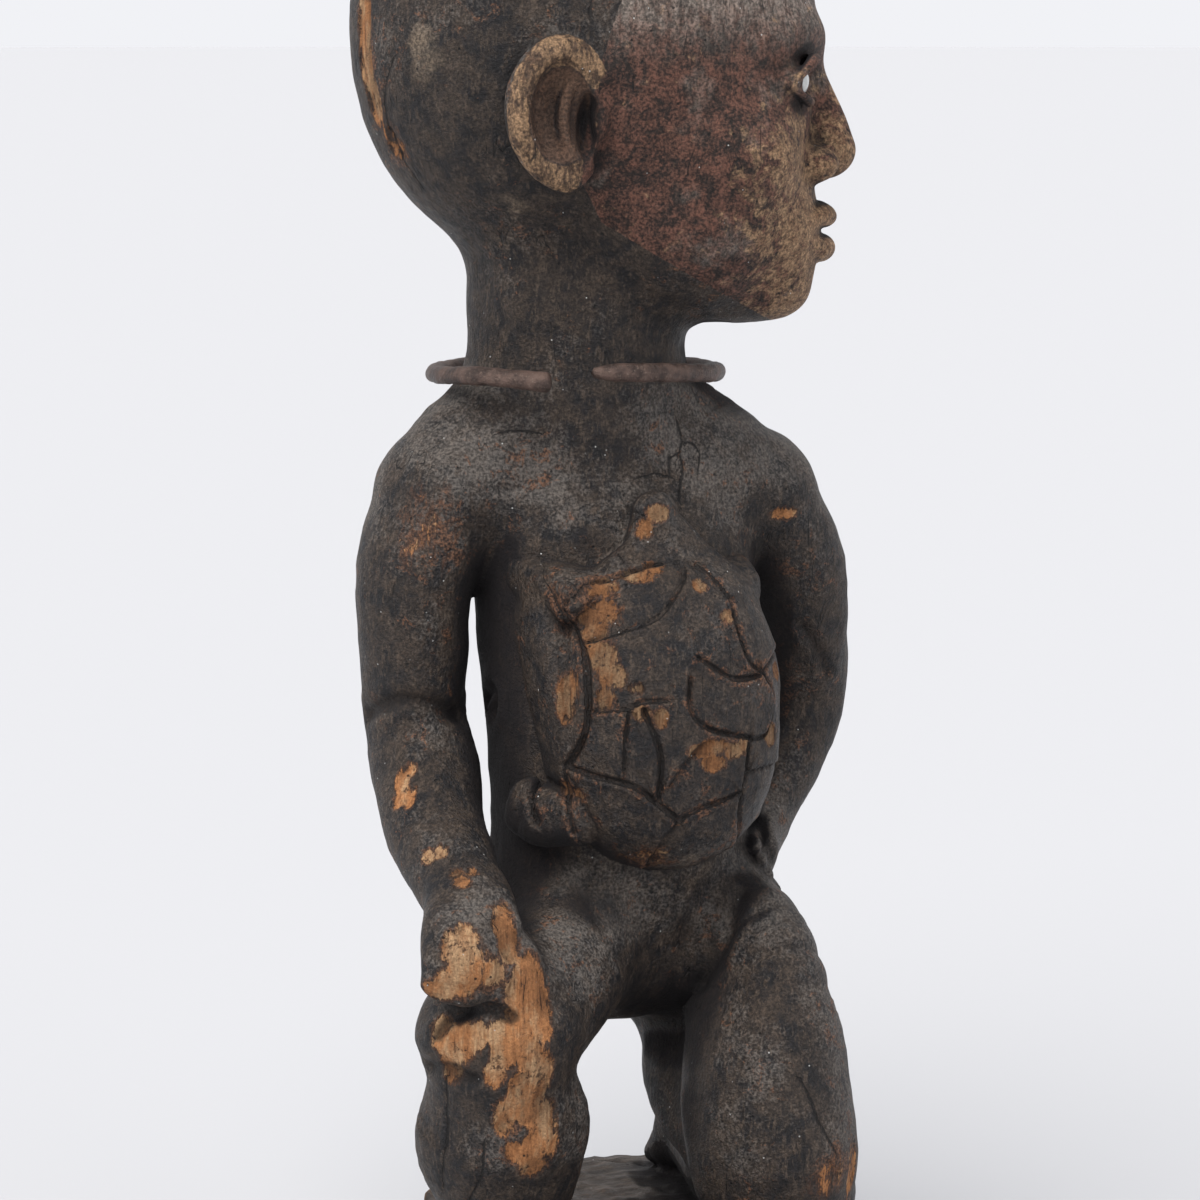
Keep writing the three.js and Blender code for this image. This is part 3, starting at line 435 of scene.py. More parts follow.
def skin_of(low, values, cell):
    """Closed skin of a grid: one point in each crossed cell, the mean of its edges' crossings, and one
    quad round each crossed edge."""
    inside = values < 0
    size = np.array(values.shape) - 1
    filled = np.zeros(size, np.uint8)
    for i, j, k in CORNERS:
        filled += inside[i:size[0] + i, j:size[1] + j, k:size[2] + k]
    cells = np.argwhere((filled > 0) & (filled < 8))
    number = np.full(size, -1, np.int32)
    number[tuple(cells.T)] = np.arange(len(cells))
    corner = {o: values[tuple((cells + o).T)] for o in CORNERS}
    total = np.zeros((len(cells), 3))
    crossings = np.zeros(len(cells))
    for start in CORNERS:
        for axis in range(3):
            if start[axis]:
                continue
            end = tuple(1 if i == axis else start[i] for i in range(3))
            a, b = corner[start], corner[end]
            crossed = (a < 0) != (b < 0)
            share = np.where(crossed, a / np.where(crossed, a - b, 1), 0)
            for i in range(3):
                total[:, i] += np.where(crossed, start[i] + (share if i == axis else 0), 0)
            crossings += crossed
    points = low + (cells + total / crossings[:, None]) * cell
    quads = []
    for axis in range(3):
        b, c = (axis + 1) % 3, (axis + 2) % 3
        first = [slice(1, -1)] * 3
        first[axis] = slice(0, -1)
        second = list(first)
        second[axis] = slice(1, None)
        here, there = inside[tuple(first)], inside[tuple(second)]
        for outward, crossed in ((True, here & ~there), (False, ~here & there)):
            edge = np.argwhere(crossed) + [0 if i == axis else 1 for i in range(3)]
            ring = []
            for db, dc in ((-1, -1), (0, -1), (0, 0), (-1, 0)):
                cell_of = edge.copy()
                cell_of[:, b] += db
                cell_of[:, c] += dc
                ring.append(number[tuple(cell_of.T)])
            quads.append(np.stack(ring if outward else ring[::-1], 1))
    return points.astype(np.float32), np.vstack(quads)


def slope_at(points, forms, probe=0.3):
    """Value of the field and its unit normal, from differences over `probe`."""
    value = field_at(points, forms)
    shifted = [field_at(points + probe * np.eye(3, dtype=np.float32)[i], forms) - value for i in range(3)]
    slope = np.stack(shifted, 1) / probe
    steep = np.linalg.norm(slope, axis=1)[:, None] + 1e-6
    return np.concatenate([value[:, None] / np.maximum(steep, 0.5), slope / steep], 1)


def settle(points, quads, forms, cell, rounds=3):
    """Slides each point towards the middle of its neighbours and puts it back on the skin. Points on a flat
    cut, deep inside the wood, stay. Gives the points, their normals and 1 for each point on the skin."""
    edges = np.vstack([quads[:, [i, (i + 1) % 4]] for i in range(4)])
    count = np.bincount(edges[:, 0], minlength=len(points))[:, None] + 1e-9
    found = in_chunks(lambda p: slope_at(p, forms), points)
    skin = np.abs(found[:, :1]) < 1.2 * cell
    for turn in range(rounds):
        if turn:
            middle = np.stack([np.bincount(edges[:, 0], points[edges[:, 1], i], len(points))
                               for i in range(3)], 1)
            drift = middle / count - points
            drift -= np.einsum("ij,ij->i", drift, found[:, 1:])[:, None] * found[:, 1:]
            points = (points + 0.5 * drift * skin).astype(np.float32)
            found = in_chunks(lambda p: slope_at(p, forms), points)
        points = (points - found[:, :1] * found[:, 1:] * skin).astype(np.float32)
    return points, found[:, 1:], skin[:, 0]


# Tool marks

def hashed(i, j, k, seed):
    """A repeatable number from 0 to 1 for each lattice point."""
    mixed = (i * 374761393 + j * 668265263 + k * 1442695041 + seed * 97471) & 0xFFFFFFFF
    mixed = ((mixed ^ (mixed >> 13)) * 1274126177) & 0xFFFFFFFF
    return ((mixed ^ (mixed >> 16)) & 0xFFFF) / 65535.0


def uneven(points, size, seed):
    """Smooth noise from -1 to 1: random numbers on a lattice of that size, blended with 3t^2 - 2t^3."""
    scaled = points / np.asarray(size, float)
    base = np.floor(scaled).astype(np.int64)
    t = scaled - base
    t = t * t * (3 - 2 * t)
    total = np.zeros(len(points))
    for corner in CORNERS:
        share = np.prod(np.where(corner, t, 1 - t), axis=1)
        total += share * hashed(*(base + corner).T, seed)
    return total * 2 - 1


def scallops(points, size, seed):
    """Shallow blade cuts: 0 on the ridges between cuts and -1 in the middle of each. It is the squared
    distance to the nearest of the points scattered one to a lattice cell."""
    scaled = points / np.asarray(size, float)
    base = np.floor(scaled).astype(np.int64)
    nearest = np.full(len(points), 9.0)
    for neighbour in product((-1, 0, 1), repeat=3):
        cell = base + neighbour
        away = np.zeros(len(points))
        for axis in range(3):
            scattered = 0.15 + 0.7 * hashed(*cell.T, seed + axis)
            away += (cell[:, axis] + scattered - scaled[:, axis]) ** 2
        nearest = np.minimum(nearest, away)
    return np.minimum(nearest / 0.55, 1) - 1


def cut_along(points, normals, lines, lip=0.0):
    """Grooves and their lips. Each line is (points near the skin, width, depth), and at a distance d along
    the skin its groove is depth * (exp(-(d / width)^2) - lip * exp(-((d - 2.3 width) / width)^2))."""
    total = np.zeros(len(points))
    for way, width, depth in lines:
        path = curve_through(way)
        reach = 4 * width + 4
        near = np.all((points > path.min(0) - reach) & (points < path.max(0) + reach), axis=1)
        if not near.any():
            continue
        _, gap = nearest_on(points[near], path, normals[near])
        away = np.sqrt(np.maximum(gap, 0)) / width
        cut = depth * (np.exp(-away ** 2) - lip * np.exp(-(away - 2.3) ** 2))
        total[near] = np.where(np.abs(cut) > np.abs(total[near]), cut, total[near])
    return total


def beside(points, normals, lines):
    """Signed distance from the nearest line (minus on its left), and the plain distance, up to 6 mm."""
    signed = np.full(len(points), 6.0)
    for way, _, _ in lines:
        path = curve_through(way)
        near = np.all((points > path.min(0) - 8) & (points < path.max(0) + 8), axis=1)
        if not near.any():
            continue
        where, gap = nearest_on(points[near], path, normals[near])
        piece = np.minimum(where.astype(int), len(path) - 2)
        along = path[piece + 1] - path[piece]
        off = points[near] - path[piece] - (where - piece)[:, None] * along
        side = np.where(np.einsum("ij,ij->i", np.cross(along, normals[near]), off) < 0, -1, 1)
        away = side * np.sqrt(np.maximum(gap, 0))
        signed[near] = np.where(np.abs(away) < np.abs(signed[near]), away, signed[near])
    return signed, np.abs(signed)


def spots(points, rows):
    """Highest of the spots: strength * (1.35 - r^2), with r the distance in units of the spot's radius and
    half height, each a little enlarged for the ragged edge that noise eats away later."""
    best = np.full(len(points), -1.0)
    for x, y, z, radius, tall, strength in rows:
        scaled = (points - (x, y, z)) / (radius + 1.6, radius + 1.6, tall + 1)
        best = np.maximum(best, strength * (1.35 - np.einsum("ij,ij->i", scaled, scaled)))
    return best


# Places where the dark skin is worn off the body and the shell, and paler places: x, y, z, radius, half
# height, strength
WORN_SPOTS = [
    (-61, -64, 139, 1.8, 4, 1), (-62, -66, 134, 1.8, 4.6, 1), (-61, -66, 128, 2.4, 5.2, 1),
    (-78, -68, 130, 2.4, 5.2, 1), (-74, -68, 131, 2.4, 4.6, 1), (-72, -71, 125, 2.7, 5.8, 1),
    (-76, -70, 125, 2.7, 5.2, 1), (-80, -68, 119, 3.3, 3.7, 1), (-74, -70, 119, 3.9, 4, 1),
    (-84, -67, 117, 2.4, 2.5, 1), (-67, -70, 121, 2.7, 4, 1), (-56, -67, 120, 3, 5.2, 1),
    (-54, -68, 115, 3.6, 5.8, 1), (-52, -67, 110, 3.3, 5.2, 1), (-57, -68, 108, 3.6, 5.2, 1),
    (-52, -69, 105, 2.7, 4.3, 1), (-77, -57, 102, 2.1, 4.6, 1), (-76, -60, 99, 3, 5.8, 1),
    (-73, -62, 101, 2.4, 6.4, 1), (-75, -58, 92, 2.4, 4.3, 1), (-70, -65, 103, 2.4, 3.4, 1),
    (-64, -68, 103, 2.4, 4.6, 1), (-63, -69, 97, 3, 4.3, 1), (-65, -67, 91, 1.8, 3.4, 1),
    (-60, -69, 100, 2.7, 4.6, 1), (-56, -70, 97, 3.3, 5.2, 1), (-52, -69, 91, 3.3, 5.2, 1),
    (-52, -67, 84, 2.7, 4.6, 1), (-57, -68, 86, 3, 5.2, 1), (-60, -66, 80, 2.7, 4.6, 1),
    (-61, -65, 76, 2.1, 3.4, 1), (-55, -67, 79, 3, 4, 1), (-49, -65, 76, 3, 5.8, 1),
    (-48, -64, 68, 2.4, 4.6, 1), (-53, -65, 67, 3.6, 4, 1), (-51, -63, 62, 3.6, 3.4, 1),
    (-57, -64, 67, 2.4, 3.1, 1), (-57, -69, 114, 4, 6, 1), (-53, -68, 88, 3.2, 6, 1),
    (-59, -69, 104, 3.2, 4, 1), (-73, -17, 168, 1, 7.4, 0.8), (-73, -22, 165, 0.7, 6.2, 0.8),
    (-75, -19, 163, 0.7, 3, 0.8), (-74, -39, 150, 1, 1.8, 0.8), (-70, -54, 145, 1.6, 0.9, 0.8),
    (-70, -50, 147, 1, 0.9, 0.8), (-66, -52, 148, 0.7, 1.5, 0.8), (-71, -41, 152, 0.7, 2.4, 0.8),
    (-71, -17, 171, 0.7, 1.8, 0.8), (-65, -15, 244, 5.4, 8.4, 0.2), (-67, -14, 237, 4.2, 5.4, 0.2),
    (49, -20, 241, 3.2, 1.2, 0.8), (40, -71, 50, 5.4, 6, 0.45), (50, -64, 51, 1.8, 9, 0.5),
    (-73, 8, 388, 2.7, 9, 0.8), (-73, 8, 376, 2.4, 9, 0.8), (-71, 7, 365, 2.7, 7.2, 0.7),
    (-67, 2, 352, 3, 6.6, 0.5), (58, 20, 190, 5, 9, 0.5), (-20, 36, 116, 10, 11, 0.26),
    (24, 38, 112, 9, 12, 0.26), (-30, 34, 232, 9, 10, 0.26), (52, 38, 62, 9, 10, 0.26),
    (62, -50, 22, 12, 5, 0.6), (-40, 60, 22, 12, 5, 0.5), (20, -88, 20, 14, 6, 0.5),
]
SHELL_SPOTS = [
    (-22, -44, 225, 4.2, 2.4, 0.9), (-23, -49, 219, 3.6, 3, 0.9), (-27, -45, 217, 1.5, 1.8, 0.9),
    (-27, -49, 214, 3, 2.4, 0.9), (-12, -48, 229, 3.6, 1.2, 0.9), (-7, -48, 231, 1.8, 0.9, 0.9),
    (-26, -53, 206, 3, 4.2, 0.9), (-24, -56, 201, 3, 3, 0.9), (-28, -51, 209, 2.4, 2.4, 0.9),
    (-33, -46, 197, 1.8, 4.8, 0.9), (-33, -45, 191, 1.5, 3, 0.9), (-26, -56, 195, 1.8, 3, 0.9),
    (6, -63, 180, 3, 1.5, 0.9), (1, -63, 179, 2.4, 0.9, 0.9), (12, -62, 178, 1.8, 1.8, 0.9),
    (15, -62, 179, 1.5, 1.5, 0.9), (6, -62, 175, 2.4, 1.5, 0.9), (-3, -41, 246, 2.1, 1.8, 0.9),
    (-6, -39, 241, 0.9, 2.4, 0.9), (-32, -41, 167, 1.5, 1.5, 0.9), (-30, -46, 166, 1.5, 1.2, 0.9),
    (-10, -39, 141, 2.4, 1.5, 0.9), (8, -37, 134, 2.4, 1.2, 0.9), (-17, -61, 191, 1.2, 1.2, 0.9),
    (-11, -62, 189, 0.9, 1.8, 0.9), (31, -52, 199, 1.5, 1.8, 0.9), (27, -56, 181, 1.5, 2.4, 0.9),
    (5, -54, 226, 1.2, 1.2, 0.9), (12, -58, 217, 0.9, 0.9, 0.9), (-18, -60, 198, 1.2, 0.9, 0.9),
    (-12, -49, 146, 6, 3, 0.4), (30, -40, 160, 4, 6, 0.5),
]
PALE_SPOTS = [
    (-65, -17, 379, 6.0, 9.6, 0.8), (-41, -23, 334, 5.4, 5.4, 0.6), (-40, -12, 322, 6.0, 4.8, 0.6),
    (20, 50, 400, 9, 12, 0.5), (-30, 40, 420, 12, 9, 0.6), (0, -40, 138, 30, 20, 0.42),
    (-52, -60, 66, 22, 22, 0.3), (32, -66, 84, 20, 40, 0.2),
]

# Lines cut or split into the body: (points on the skin, width, depth)
CRACKS = [
    ([(12.9, -23, 270.4), (13.8, -24, 265.4), (12.3, -25, 261.6), (12.6, -26.4, 256.4), (10.8, -28.0, 251),
      (10.4, -29.2, 246.9)], 0.9, 0.8),
    ([(13.8, -24, 264.4), (17.5, -23, 263.6), (18.8, -22.6, 260), (17.4, -24, 255)], 0.8, 0.4),
    ([(12.3, -25, 261.6), (8.5, -26, 259.5), (8.0, -27, 255)], 0.8, 0.3),
    ([(-75.4, -56, 88.8), (-74.8, -52.9, 78.6), (-73.6, -51.3, 69.2), (-72.6, -46.4, 54.6)], 1.0, 0.9),
    ([(-65.9, -60.6, 69.2), (-65.6, -58.1, 59.7), (-66.9, -52.3, 51.6)], 0.9, 0.5),
    ([(30.1, -70.2, 81.1), (33.6, -71.3, 74.4), (36.6, -71.9, 66.7), (41.9, -70.6, 57.7)], 1.0, 0.7),
    ([(-2, -27.3, 254.7), (3, -27, 255.6), (8.5, -27, 254.2)], 0.8, 0.3),
    ([(-41.8, -16.4, 268.9), (-36.5, -18.8, 269.4), (-31.2, -21.2, 268.3)], 0.8, 0.3),
    ([(-70.4, -5.4, 376.3), (-70.5, 1.1, 364.7), (-67.5, 2.4, 353.2), (-60.2, -0.7, 338.7)], 1.0, 0.6),
    ([(-4, 30, 268), (-3, 32, 240), (-5, 27, 205), (-2, 25, 170)], 1.1, 1.0),
    ([(50, 34, 20), (30, 60, 24), (8, 72, 24)], 1.1, 1.0),
    ([(-44, -40, 432), (-20, -10, 447), (10, 20, 443), (30, 40, 420)], 1.1, 1.0),
]
BODY_LINES = [
    ([(-75.3, 6.9, 184.5), (-74.5, -3, 188), (-70.6, -8.8, 190.6), (-62.6, -12.5, 189.5), (-51, -8.7, 184.5)],
     2.2, 1.7),
    ([(-77.1, -55, 101.3), (-73.7, -58.1, 106.6), (-68.9, -65.2, 111.2), (-59.9, -67.2, 107.5)], 1.5, 1.6),
    ([(-77.3, -47.8, 90.6), (-75.8, -55.7, 91.7), (-69, -62, 90)], 1.8, 1.4),
    ([(-23.3, -37.7, 134), (-20.5, -47.4, 122.3), (-10.4, -40.6, 109.5)], 3.0, 0.7),
    ([(26, -39.2, 130.1), (19.1, -42.2, 116.2), (16, -33.7, 102.5)], 2.2, 1.2),
    ([(59.7, -11.4, 204.5), (65.6, -10, 197.2), (70.2, -6.4, 189.6)], 1.6, 1.0),
    ([(-2, 36, 262), (0, 33, 225), (0, 24, 185), (0, 22, 150), (1, 26, 136)], 3.5, 1.6),
    ([(1, 30, 128), (1, 34, 112), (1, 26, 96)], 3.0, 2.2),
]
SHELL_LINES = [
    ([(-32, -43, 221), (-27, -43, 225), (-16, -45, 228), (-4, -47, 232)], 0.79, 1.0),
    ([(-29, -47, 209), (-30, -51, 202), (-30, -52, 191), (-31, -50, 182), (-33, -44, 174)], 0.94, 1.5),
    ([(-29, -47, 210), (-22, -54, 213), (-10, -58, 218), (-1, -54, 226), (2, -50, 230)], 0.65, 0.7),
    ([(14, -55, 222), (15, -58, 213), (18, -60, 204), (23, -58, 200)], 0.72, 1.1),
    ([(1, -62, 206), (7, -62, 202), (13, -62, 199), (22, -59, 199)], 0.72, 0.9),
    ([(-2, -62, 200), (-2, -63, 191), (4, -63, 185), (19, -61, 181)], 0.72, 1.2),
    ([(-29, -53, 191), (-21, -59, 192), (-16, -61, 194), (-9, -62, 194)], 0.58, 0.7),
    ([(-20, -59, 191), (-21, -59, 184), (-21, -58, 174)], 0.58, 0.7),
    ([(-16, -61, 191), (-13, -62, 184), (-11, -62, 177), (-11, -60, 165)], 0.79, 1.0),
    ([(2, -63, 181), (-3, -63, 176), (-8, -61, 169)], 0.58, 0.6),
    ([(-33, -44, 174), (-29, -52, 172), (-21, -58, 170), (-15, -59, 167), (-8, -60, 161), (-4, -59, 158)],
     0.79, 1.2),
    ([(-4, -59, 158), (2, -60, 161), (9, -60, 163), (15, -59, 165)], 0.65, 0.8),
    ([(-4, -59, 158), (-8, -55, 151), (-9, -46, 143)], 0.65, 0.8),
    ([(18, -61, 181), (17, -60, 171), (16, -57, 159), (20, -46, 147)], 0.72, 1.0),
    ([(-32, -42, 219), (-29, -42, 214), (-29, -47, 209)], 0.79, 1.2),
    ([(14, -55, 222), (11, -52, 227), (7, -49, 231)], 0.58, 0.7),
    ([(23, -58, 200), (27, -56, 195), (29, -55, 191)], 0.65, 0.9),
    ([(29, -55, 191), (26, -58, 182), (19, -61, 181)], 0.65, 0.8),
    ([(29, -47, 172), (23, -55, 172), (17, -60, 171)], 0.65, 0.8),
    ([(33, -40, 205), (29, -50, 204), (23, -58, 200)], 0.65, 0.8),
    ([(-34.1, -28.3, 166.5), (-37.7, -31.4, 163.8), (-39.1, -33.1, 160.3), (-38.4, -35.2, 156.5)], 1.1, 1.4),
    ([(-32.7, -42.6, 170.6), (-31.6, -42.3, 165.2), (-32.1, -44, 160.5), (-30.7, -44.4, 154.6)], 0.8, 0.9),
    ([(-33.2, -29.3, 227.4), (-34.6, -37.7, 224.1), (-33.3, -41.3, 218.7), (-30.5, -39.8, 213.7)], 0.9, 0.5),
]


def in_head_frame(points):
    """Distance to the head's left, distance towards the face, and height."""
    off = points - HEAD_AXIS.astype(np.float32)
    return off @ LEFT, off @ FACE, points[:, 2]


def ramp(value, low, high):
    """0 below low, 1 above high, and smooth between."""
    t = np.clip((value - low) / (high - low), 0, 1)
    return t * t * (3 - 2 * t)


def ear_oval(front, up):
    """How far out a point is from the middle of the ear, 1 on the outer part of its rim."""
    return np.hypot((front + 7) / 13, (up - 361) / 19)


def ear_rim(points):
    """1 on the worn outer rim of both ears: the C-shaped band round each hollow."""
    left, front, up = in_head_frame(points)
    oval = ear_oval(front, up)
    band = ramp(oval, 0.62, 0.8) * (1 - ramp(oval, 1.15, 1.3))
    return ramp(np.abs(left), 51, 54) * band * (1 - ramp(front, -3, 2) * (up < 368))


# The painted hairline in front of the ears: how far forward it is at each height
HAIRLINE = np.array([(296, 60), (312, 34), (330, 4), (345, -3), (372, 3), (392, 9), (406, 17), (417, 28),
                     (426, 42), (433, 60)])


def face_share(points):
    """1 on the painted face in front of the ears, 0 on the hair, neck and body."""
    _, front, up = in_head_frame(points)
    return ramp(front - np.interp(up, *HAIRLINE.T), -1.5, 1.5) * ramp(up, 296, 299)


def tool_marks(points, normals):
    """How far the body's skin moves out, in mm: knife scallops, unevenness, cut lines, cracks and losses."""
    _, front, up = in_head_frame(points)
    on_face = ramp(front, 30, 45) * ramp(up, 300, 310)
    on_head = ramp(up, 292, 306)
    on_base = ramp(-up, -27, -23)
    smooth = 1 - 0.75 * on_face
    move = 0.45 * uneven(points, 17, 1) + 0.2 * uneven(points, 7, 2) * smooth
    move += 0.1 * uneven(points, (2.6, 2.6, 4.5), 3) * smooth
    move += (0.34 - 0.16 * on_head) * smooth * scallops(points, (11, 11, 17), 11)
    move += on_base * (1.1 * scallops(points, (12, 9, 9), 21) + 0.35 * uneven(points, (3, 3, 2.2), 5))
    worn = ramp(spots(points, WORN_SPOTS) + 0.3 * uneven(points, (3, 3, 7), 7), 0.35, 0.55)
    fibres = uneven(points, (1.7, 1.7, 14), 8)
    move -= worn * (0.6 + 0.35 * fibres)
    move -= 0.5 * cut_along(points, normals, CRACKS) + cut_along(points, normals, BODY_LINES, 0.25)
    return np.where(up < 1.5, np.minimum(move, 0) * 0.2, move)


def shell_marks(points, normals):
    """How far the tortoise's skin moves out: grooves between the plates, plates a little domed, losses."""
    move = 0.25 * uneven(points, 11, 31) + 0.14 * uneven(points, 4.5, 32) + 0.07 * uneven(points, 2.0, 33)
    move += 0.22 * scallops(points, (10, 8, 13), 41)
    worn = ramp(spots(points, SHELL_SPOTS) + 0.3 * uneven(points, (2.5, 2.5, 5), 37), 0.35, 0.55)
    move -= worn * (0.4 + 0.25 * uneven(points, (1.5, 1.5, 9), 38))
    firmness = 0.75 + 0.5 * uneven(points, 6, 34)
    signed, plain = beside(points, normals, SHELL_LINES)
    move += 0.55 * np.sign(signed) * np.exp(-plain / 2.6) * ramp(plain, 0.0, 0.7)
    return move - firmness * cut_along(points, normals, SHELL_LINES, 0.2)


# Meshes

def linked(name, data):
    """A new object in the scene."""
    made = bpy.data.objects.new(name, data)
    bpy.context.scene.collection.objects.link(made)
    return made


def mesh_piece(name, points, faces):
    """A mesh object whose points are given in millimetres in the carver's frame."""
    mesh = bpy.data.meshes.new(name)
    placed = (np.asarray(points, float) + SHIFT) * MM
    corners = faces.shape[1]
    mesh.vertices.add(len(placed))
    mesh.vertices.foreach_set("co", placed.astype(np.float32).ravel())
    mesh.loops.add(faces.size)
    mesh.loops.foreach_set("vertex_index", faces.astype(np.int32).ravel())
    mesh.polygons.add(len(faces))
    mesh.polygons.foreach_set("loop_start", np.arange(0, faces.size, corners, dtype=np.int32))
    mesh.update(calc_edges=True)
    mesh.validate()
    mesh.polygons.foreach_set("use_smooth", np.ones(len(mesh.polygons), bool))
    return linked(name, mesh)


def thinned(piece, triangles):
    """Merges points where the skin is flattest until that many triangles are left, as a mesh of its own."""
    count = sum(len(p.vertices) - 2 for p in piece.data.polygons)
    if count > triangles:
        modifier = piece.modifiers.new("thin", "DECIMATE")
        modifier.ratio = triangles / count
        graph = bpy.context.evaluated_depsgraph_get()
        mesh = bpy.data.meshes.new_from_object(piece.evaluated_get(graph))
        piece.modifiers.clear()
        old = piece.data
        piece.data = mesh
        bpy.data.meshes.remove(old)
        mesh.polygons.foreach_set("use_smooth", np.ones(len(mesh.polygons), bool))
    return piece


def points_of(piece):
    """The piece's points in millimetres in the carver's frame."""
    co = np.zeros(len(piece.data.vertices) * 3, np.float32)
    piece.data.vertices.foreach_get("co", co)
    return (co.reshape(-1, 3) / MM - SHIFT).astype(np.float32)


def normals_of(piece):
    """The piece's vertex normals."""
    found = np.zeros(len(piece.data.vertices) * 3, np.float32)
    piece.data.vertex_normals.foreach_get("vector", found)
    return found.reshape(-1, 3)


def paint(piece, name, values):
    """Keeps one number for each point, which the finish reads by that name."""
    layer = piece.data.attributes.new(name, "FLOAT", "POINT")
    layer.data.foreach_set("value", np.asarray(values, np.float32))


def shade_of(points, normals, forms, far=9.0):
    """How enclosed each point is: 0 in the open, 1 deep in a fold. The field `far` out from an open skin
    is about `far`."""
    ahead = in_chunks(lambda p: field_at(p, forms), points + far * normals)
    return np.clip(1 - ahead / far, 0, 1)


carved_forms = (trunk_forms() + arm_forms() + leg_forms() + tortoise_forms(-2.6) + hand_forms() + base_forms()
                + head_forms() + finger_forms())
shell_forms = tortoise_forms()
# name, forms, heights, cell, quick cell, marks, most triangles. The carved bands overlap by some 6 mm.
CARVED_PIECES = [
    ("carved_base", carved_forms, (-10, 31), 1.1, 2.2, tool_marks, 90000),
    ("carved_body", carved_forms, (25.5, 289), 0.95, 2.0, tool_marks, 196000),
    ("carved_head", carved_forms, (283, 460), 0.82, 1.8, tool_marks, 180000),
    ("carved_tortoise", shell_forms, (-10, 460), 0.58, 1.0, shell_marks, 150000),
]


def carved_piece(name, forms, band, cell, quick_cell, marks, most):
    """One closed piece of the carving, with its marks pressed in and its finish's numbers kept."""
    cell = cell
    low, grid = near_grid(forms, cell, band)
    points, quads = skin_of(low, grid, cell)
    points, normals, skin = settle(points, quads, forms, cell)
    end = np.minimum(points[:, 2] - band[0], band[1] - points[:, 2])
    tucked = 1.2 * (1 - ramp(end, 0.3, 2.4))  # the rim of a cut goes in under the neighbouring piece's skin
    points = points + ((marks(points, normals) - tucked) * skin)[:, None] * normals
    points[:, 2] = np.maximum(points[:, 2], 0)
    piece = thinned(mesh_piece(name, points, quads), most)
    keep_numbers(piece, marks is shell_marks)
    return piece


def keep_numbers(piece, shell):
    """Works out for each point the numbers that the finish reads."""
    where, facing = points_of(piece), normals_of(piece)
    left, front, up = in_head_frame(where)
    signed, plain = beside(where, facing, SHELL_LINES if shell else CRACKS)
    # Painted deep shade on the sides of the trunk behind the arms and in the hollow above the right flipper.
    between = np.exp(-((np.abs(where[:, 0]) - 41) / 8) ** 2) * ramp(np.abs(facing[:, 0]), 0.35, 0.75)
    between *= ramp(up, 128, 160) * (1 - ramp(up, 238, 256))
    recess = np.exp(-((where[:, 0] + 20) / 11) ** 2 - ((up - 237) / 8) ** 2) * ramp(-where[:, 1], 18, 26)
    between = np.maximum(between, 0.8 * recess) * (not shell)
    # Dust lies on shoulders and chest and on what faces forward at hips and knees, and not low down. The same
    # grey coat is also a painted highlight on faces turned up and towards the lamps.
    dust_and_sheen_at = ramp(up, 222, 254) * (1 - 0.75 * ramp(up, 281, 292)) * ramp(facing[:, 2], -0.5, 0.5)
    dust_and_sheen_at += (ramp(-facing[:, 1], 0.1, 0.7)
                * (np.exp(-((up - 134) / 20) ** 2) + 0.5 * np.exp(-((up - 72) / 24) ** 2)))
    numbers = {
        "line": signed,
        "line_near": plain,
        "worn": spots(where, SHELL_SPOTS if shell else WORN_SPOTS),
        "pale": spots(where, PALE_SPOTS),
        "face": face_share(where),
        "ochre": ramp(front, 34, 62) * ramp(-up, -384, -340),
        "brow": ramp(up, 372, 402),
        "rim": ear_rim(where),
        "inner_ear": ramp(np.abs(left), 47, 50) * (1 - ramp(ear_oval(front, up), 0.6, 0.85)),
        "shade": shade_of(where, facing, carved_forms),
        # Painted shade in fine creases: how enclosed each point is within 3 mm.
        "crease_shade": shade_of(where, facing, shell_forms if shell else carved_forms, 3.0),
        # Painted deep shade: how enclosed each point is within 28 mm, and the painted shade beside the trunk.
        "painted_deep_shade": np.maximum(shade_of(where, facing, carved_forms, 28.0), 0.95 * between),
        "low": ramp(-up, -25.5, -23),
        "upward": ramp(facing[:, 2], -0.3, 0.7),
        "dust_and_sheen": dust_and_sheen_at - 1.6 * ramp(-up, -56, -34),
    }
    for name, values in numbers.items():
        paint(piece, name, values)


base, body, head, tortoise = [carved_piece(*row) for row in CARVED_PIECES]

# Neck ring and eye glass


def closed_tube(steps, around):
    """Triangles of a tube of `steps` rings of `around` points each, closed by one point at its first end
    and one at its last, which come after the rings."""
    i, j = [index.ravel() for index in np.meshgrid(np.arange(steps - 1), np.arange(around), indexing="ij")]
    k = (j + 1) % around
    here, beyond = i * around, (i + 1) * around
    j_end, k_end = j[:around], k[:around]
    first = np.full(around, steps * around)
    last_ring = (steps - 1) * around
    return np.vstack([
        np.stack([here + j, beyond + j, beyond + k], 1),
        np.stack([here + j, beyond + k, here + k], 1),
        np.stack([first, j_end, k_end], 1),
        np.stack([first + 1, last_ring + k_end, last_ring + j_end], 1),
    ])


RING_CENTRE = (-9.0, 3.5, 283.3)
RING_RADIUS = 42.0
WIRE = 2.7
RING_ENDS = (6.2, 350.4)  # degrees round the neck, from the blade-thin end to the blunt one
RISE, RISE_OVER = 3.7, 100  # the thin end stands up, over so many degrees
BEND, BEND_AT, BEND_OVER = 1.9, 322, 32
TAPER, THIN = 11, 0.45  # mm of wire that thin out, and how thin the end is


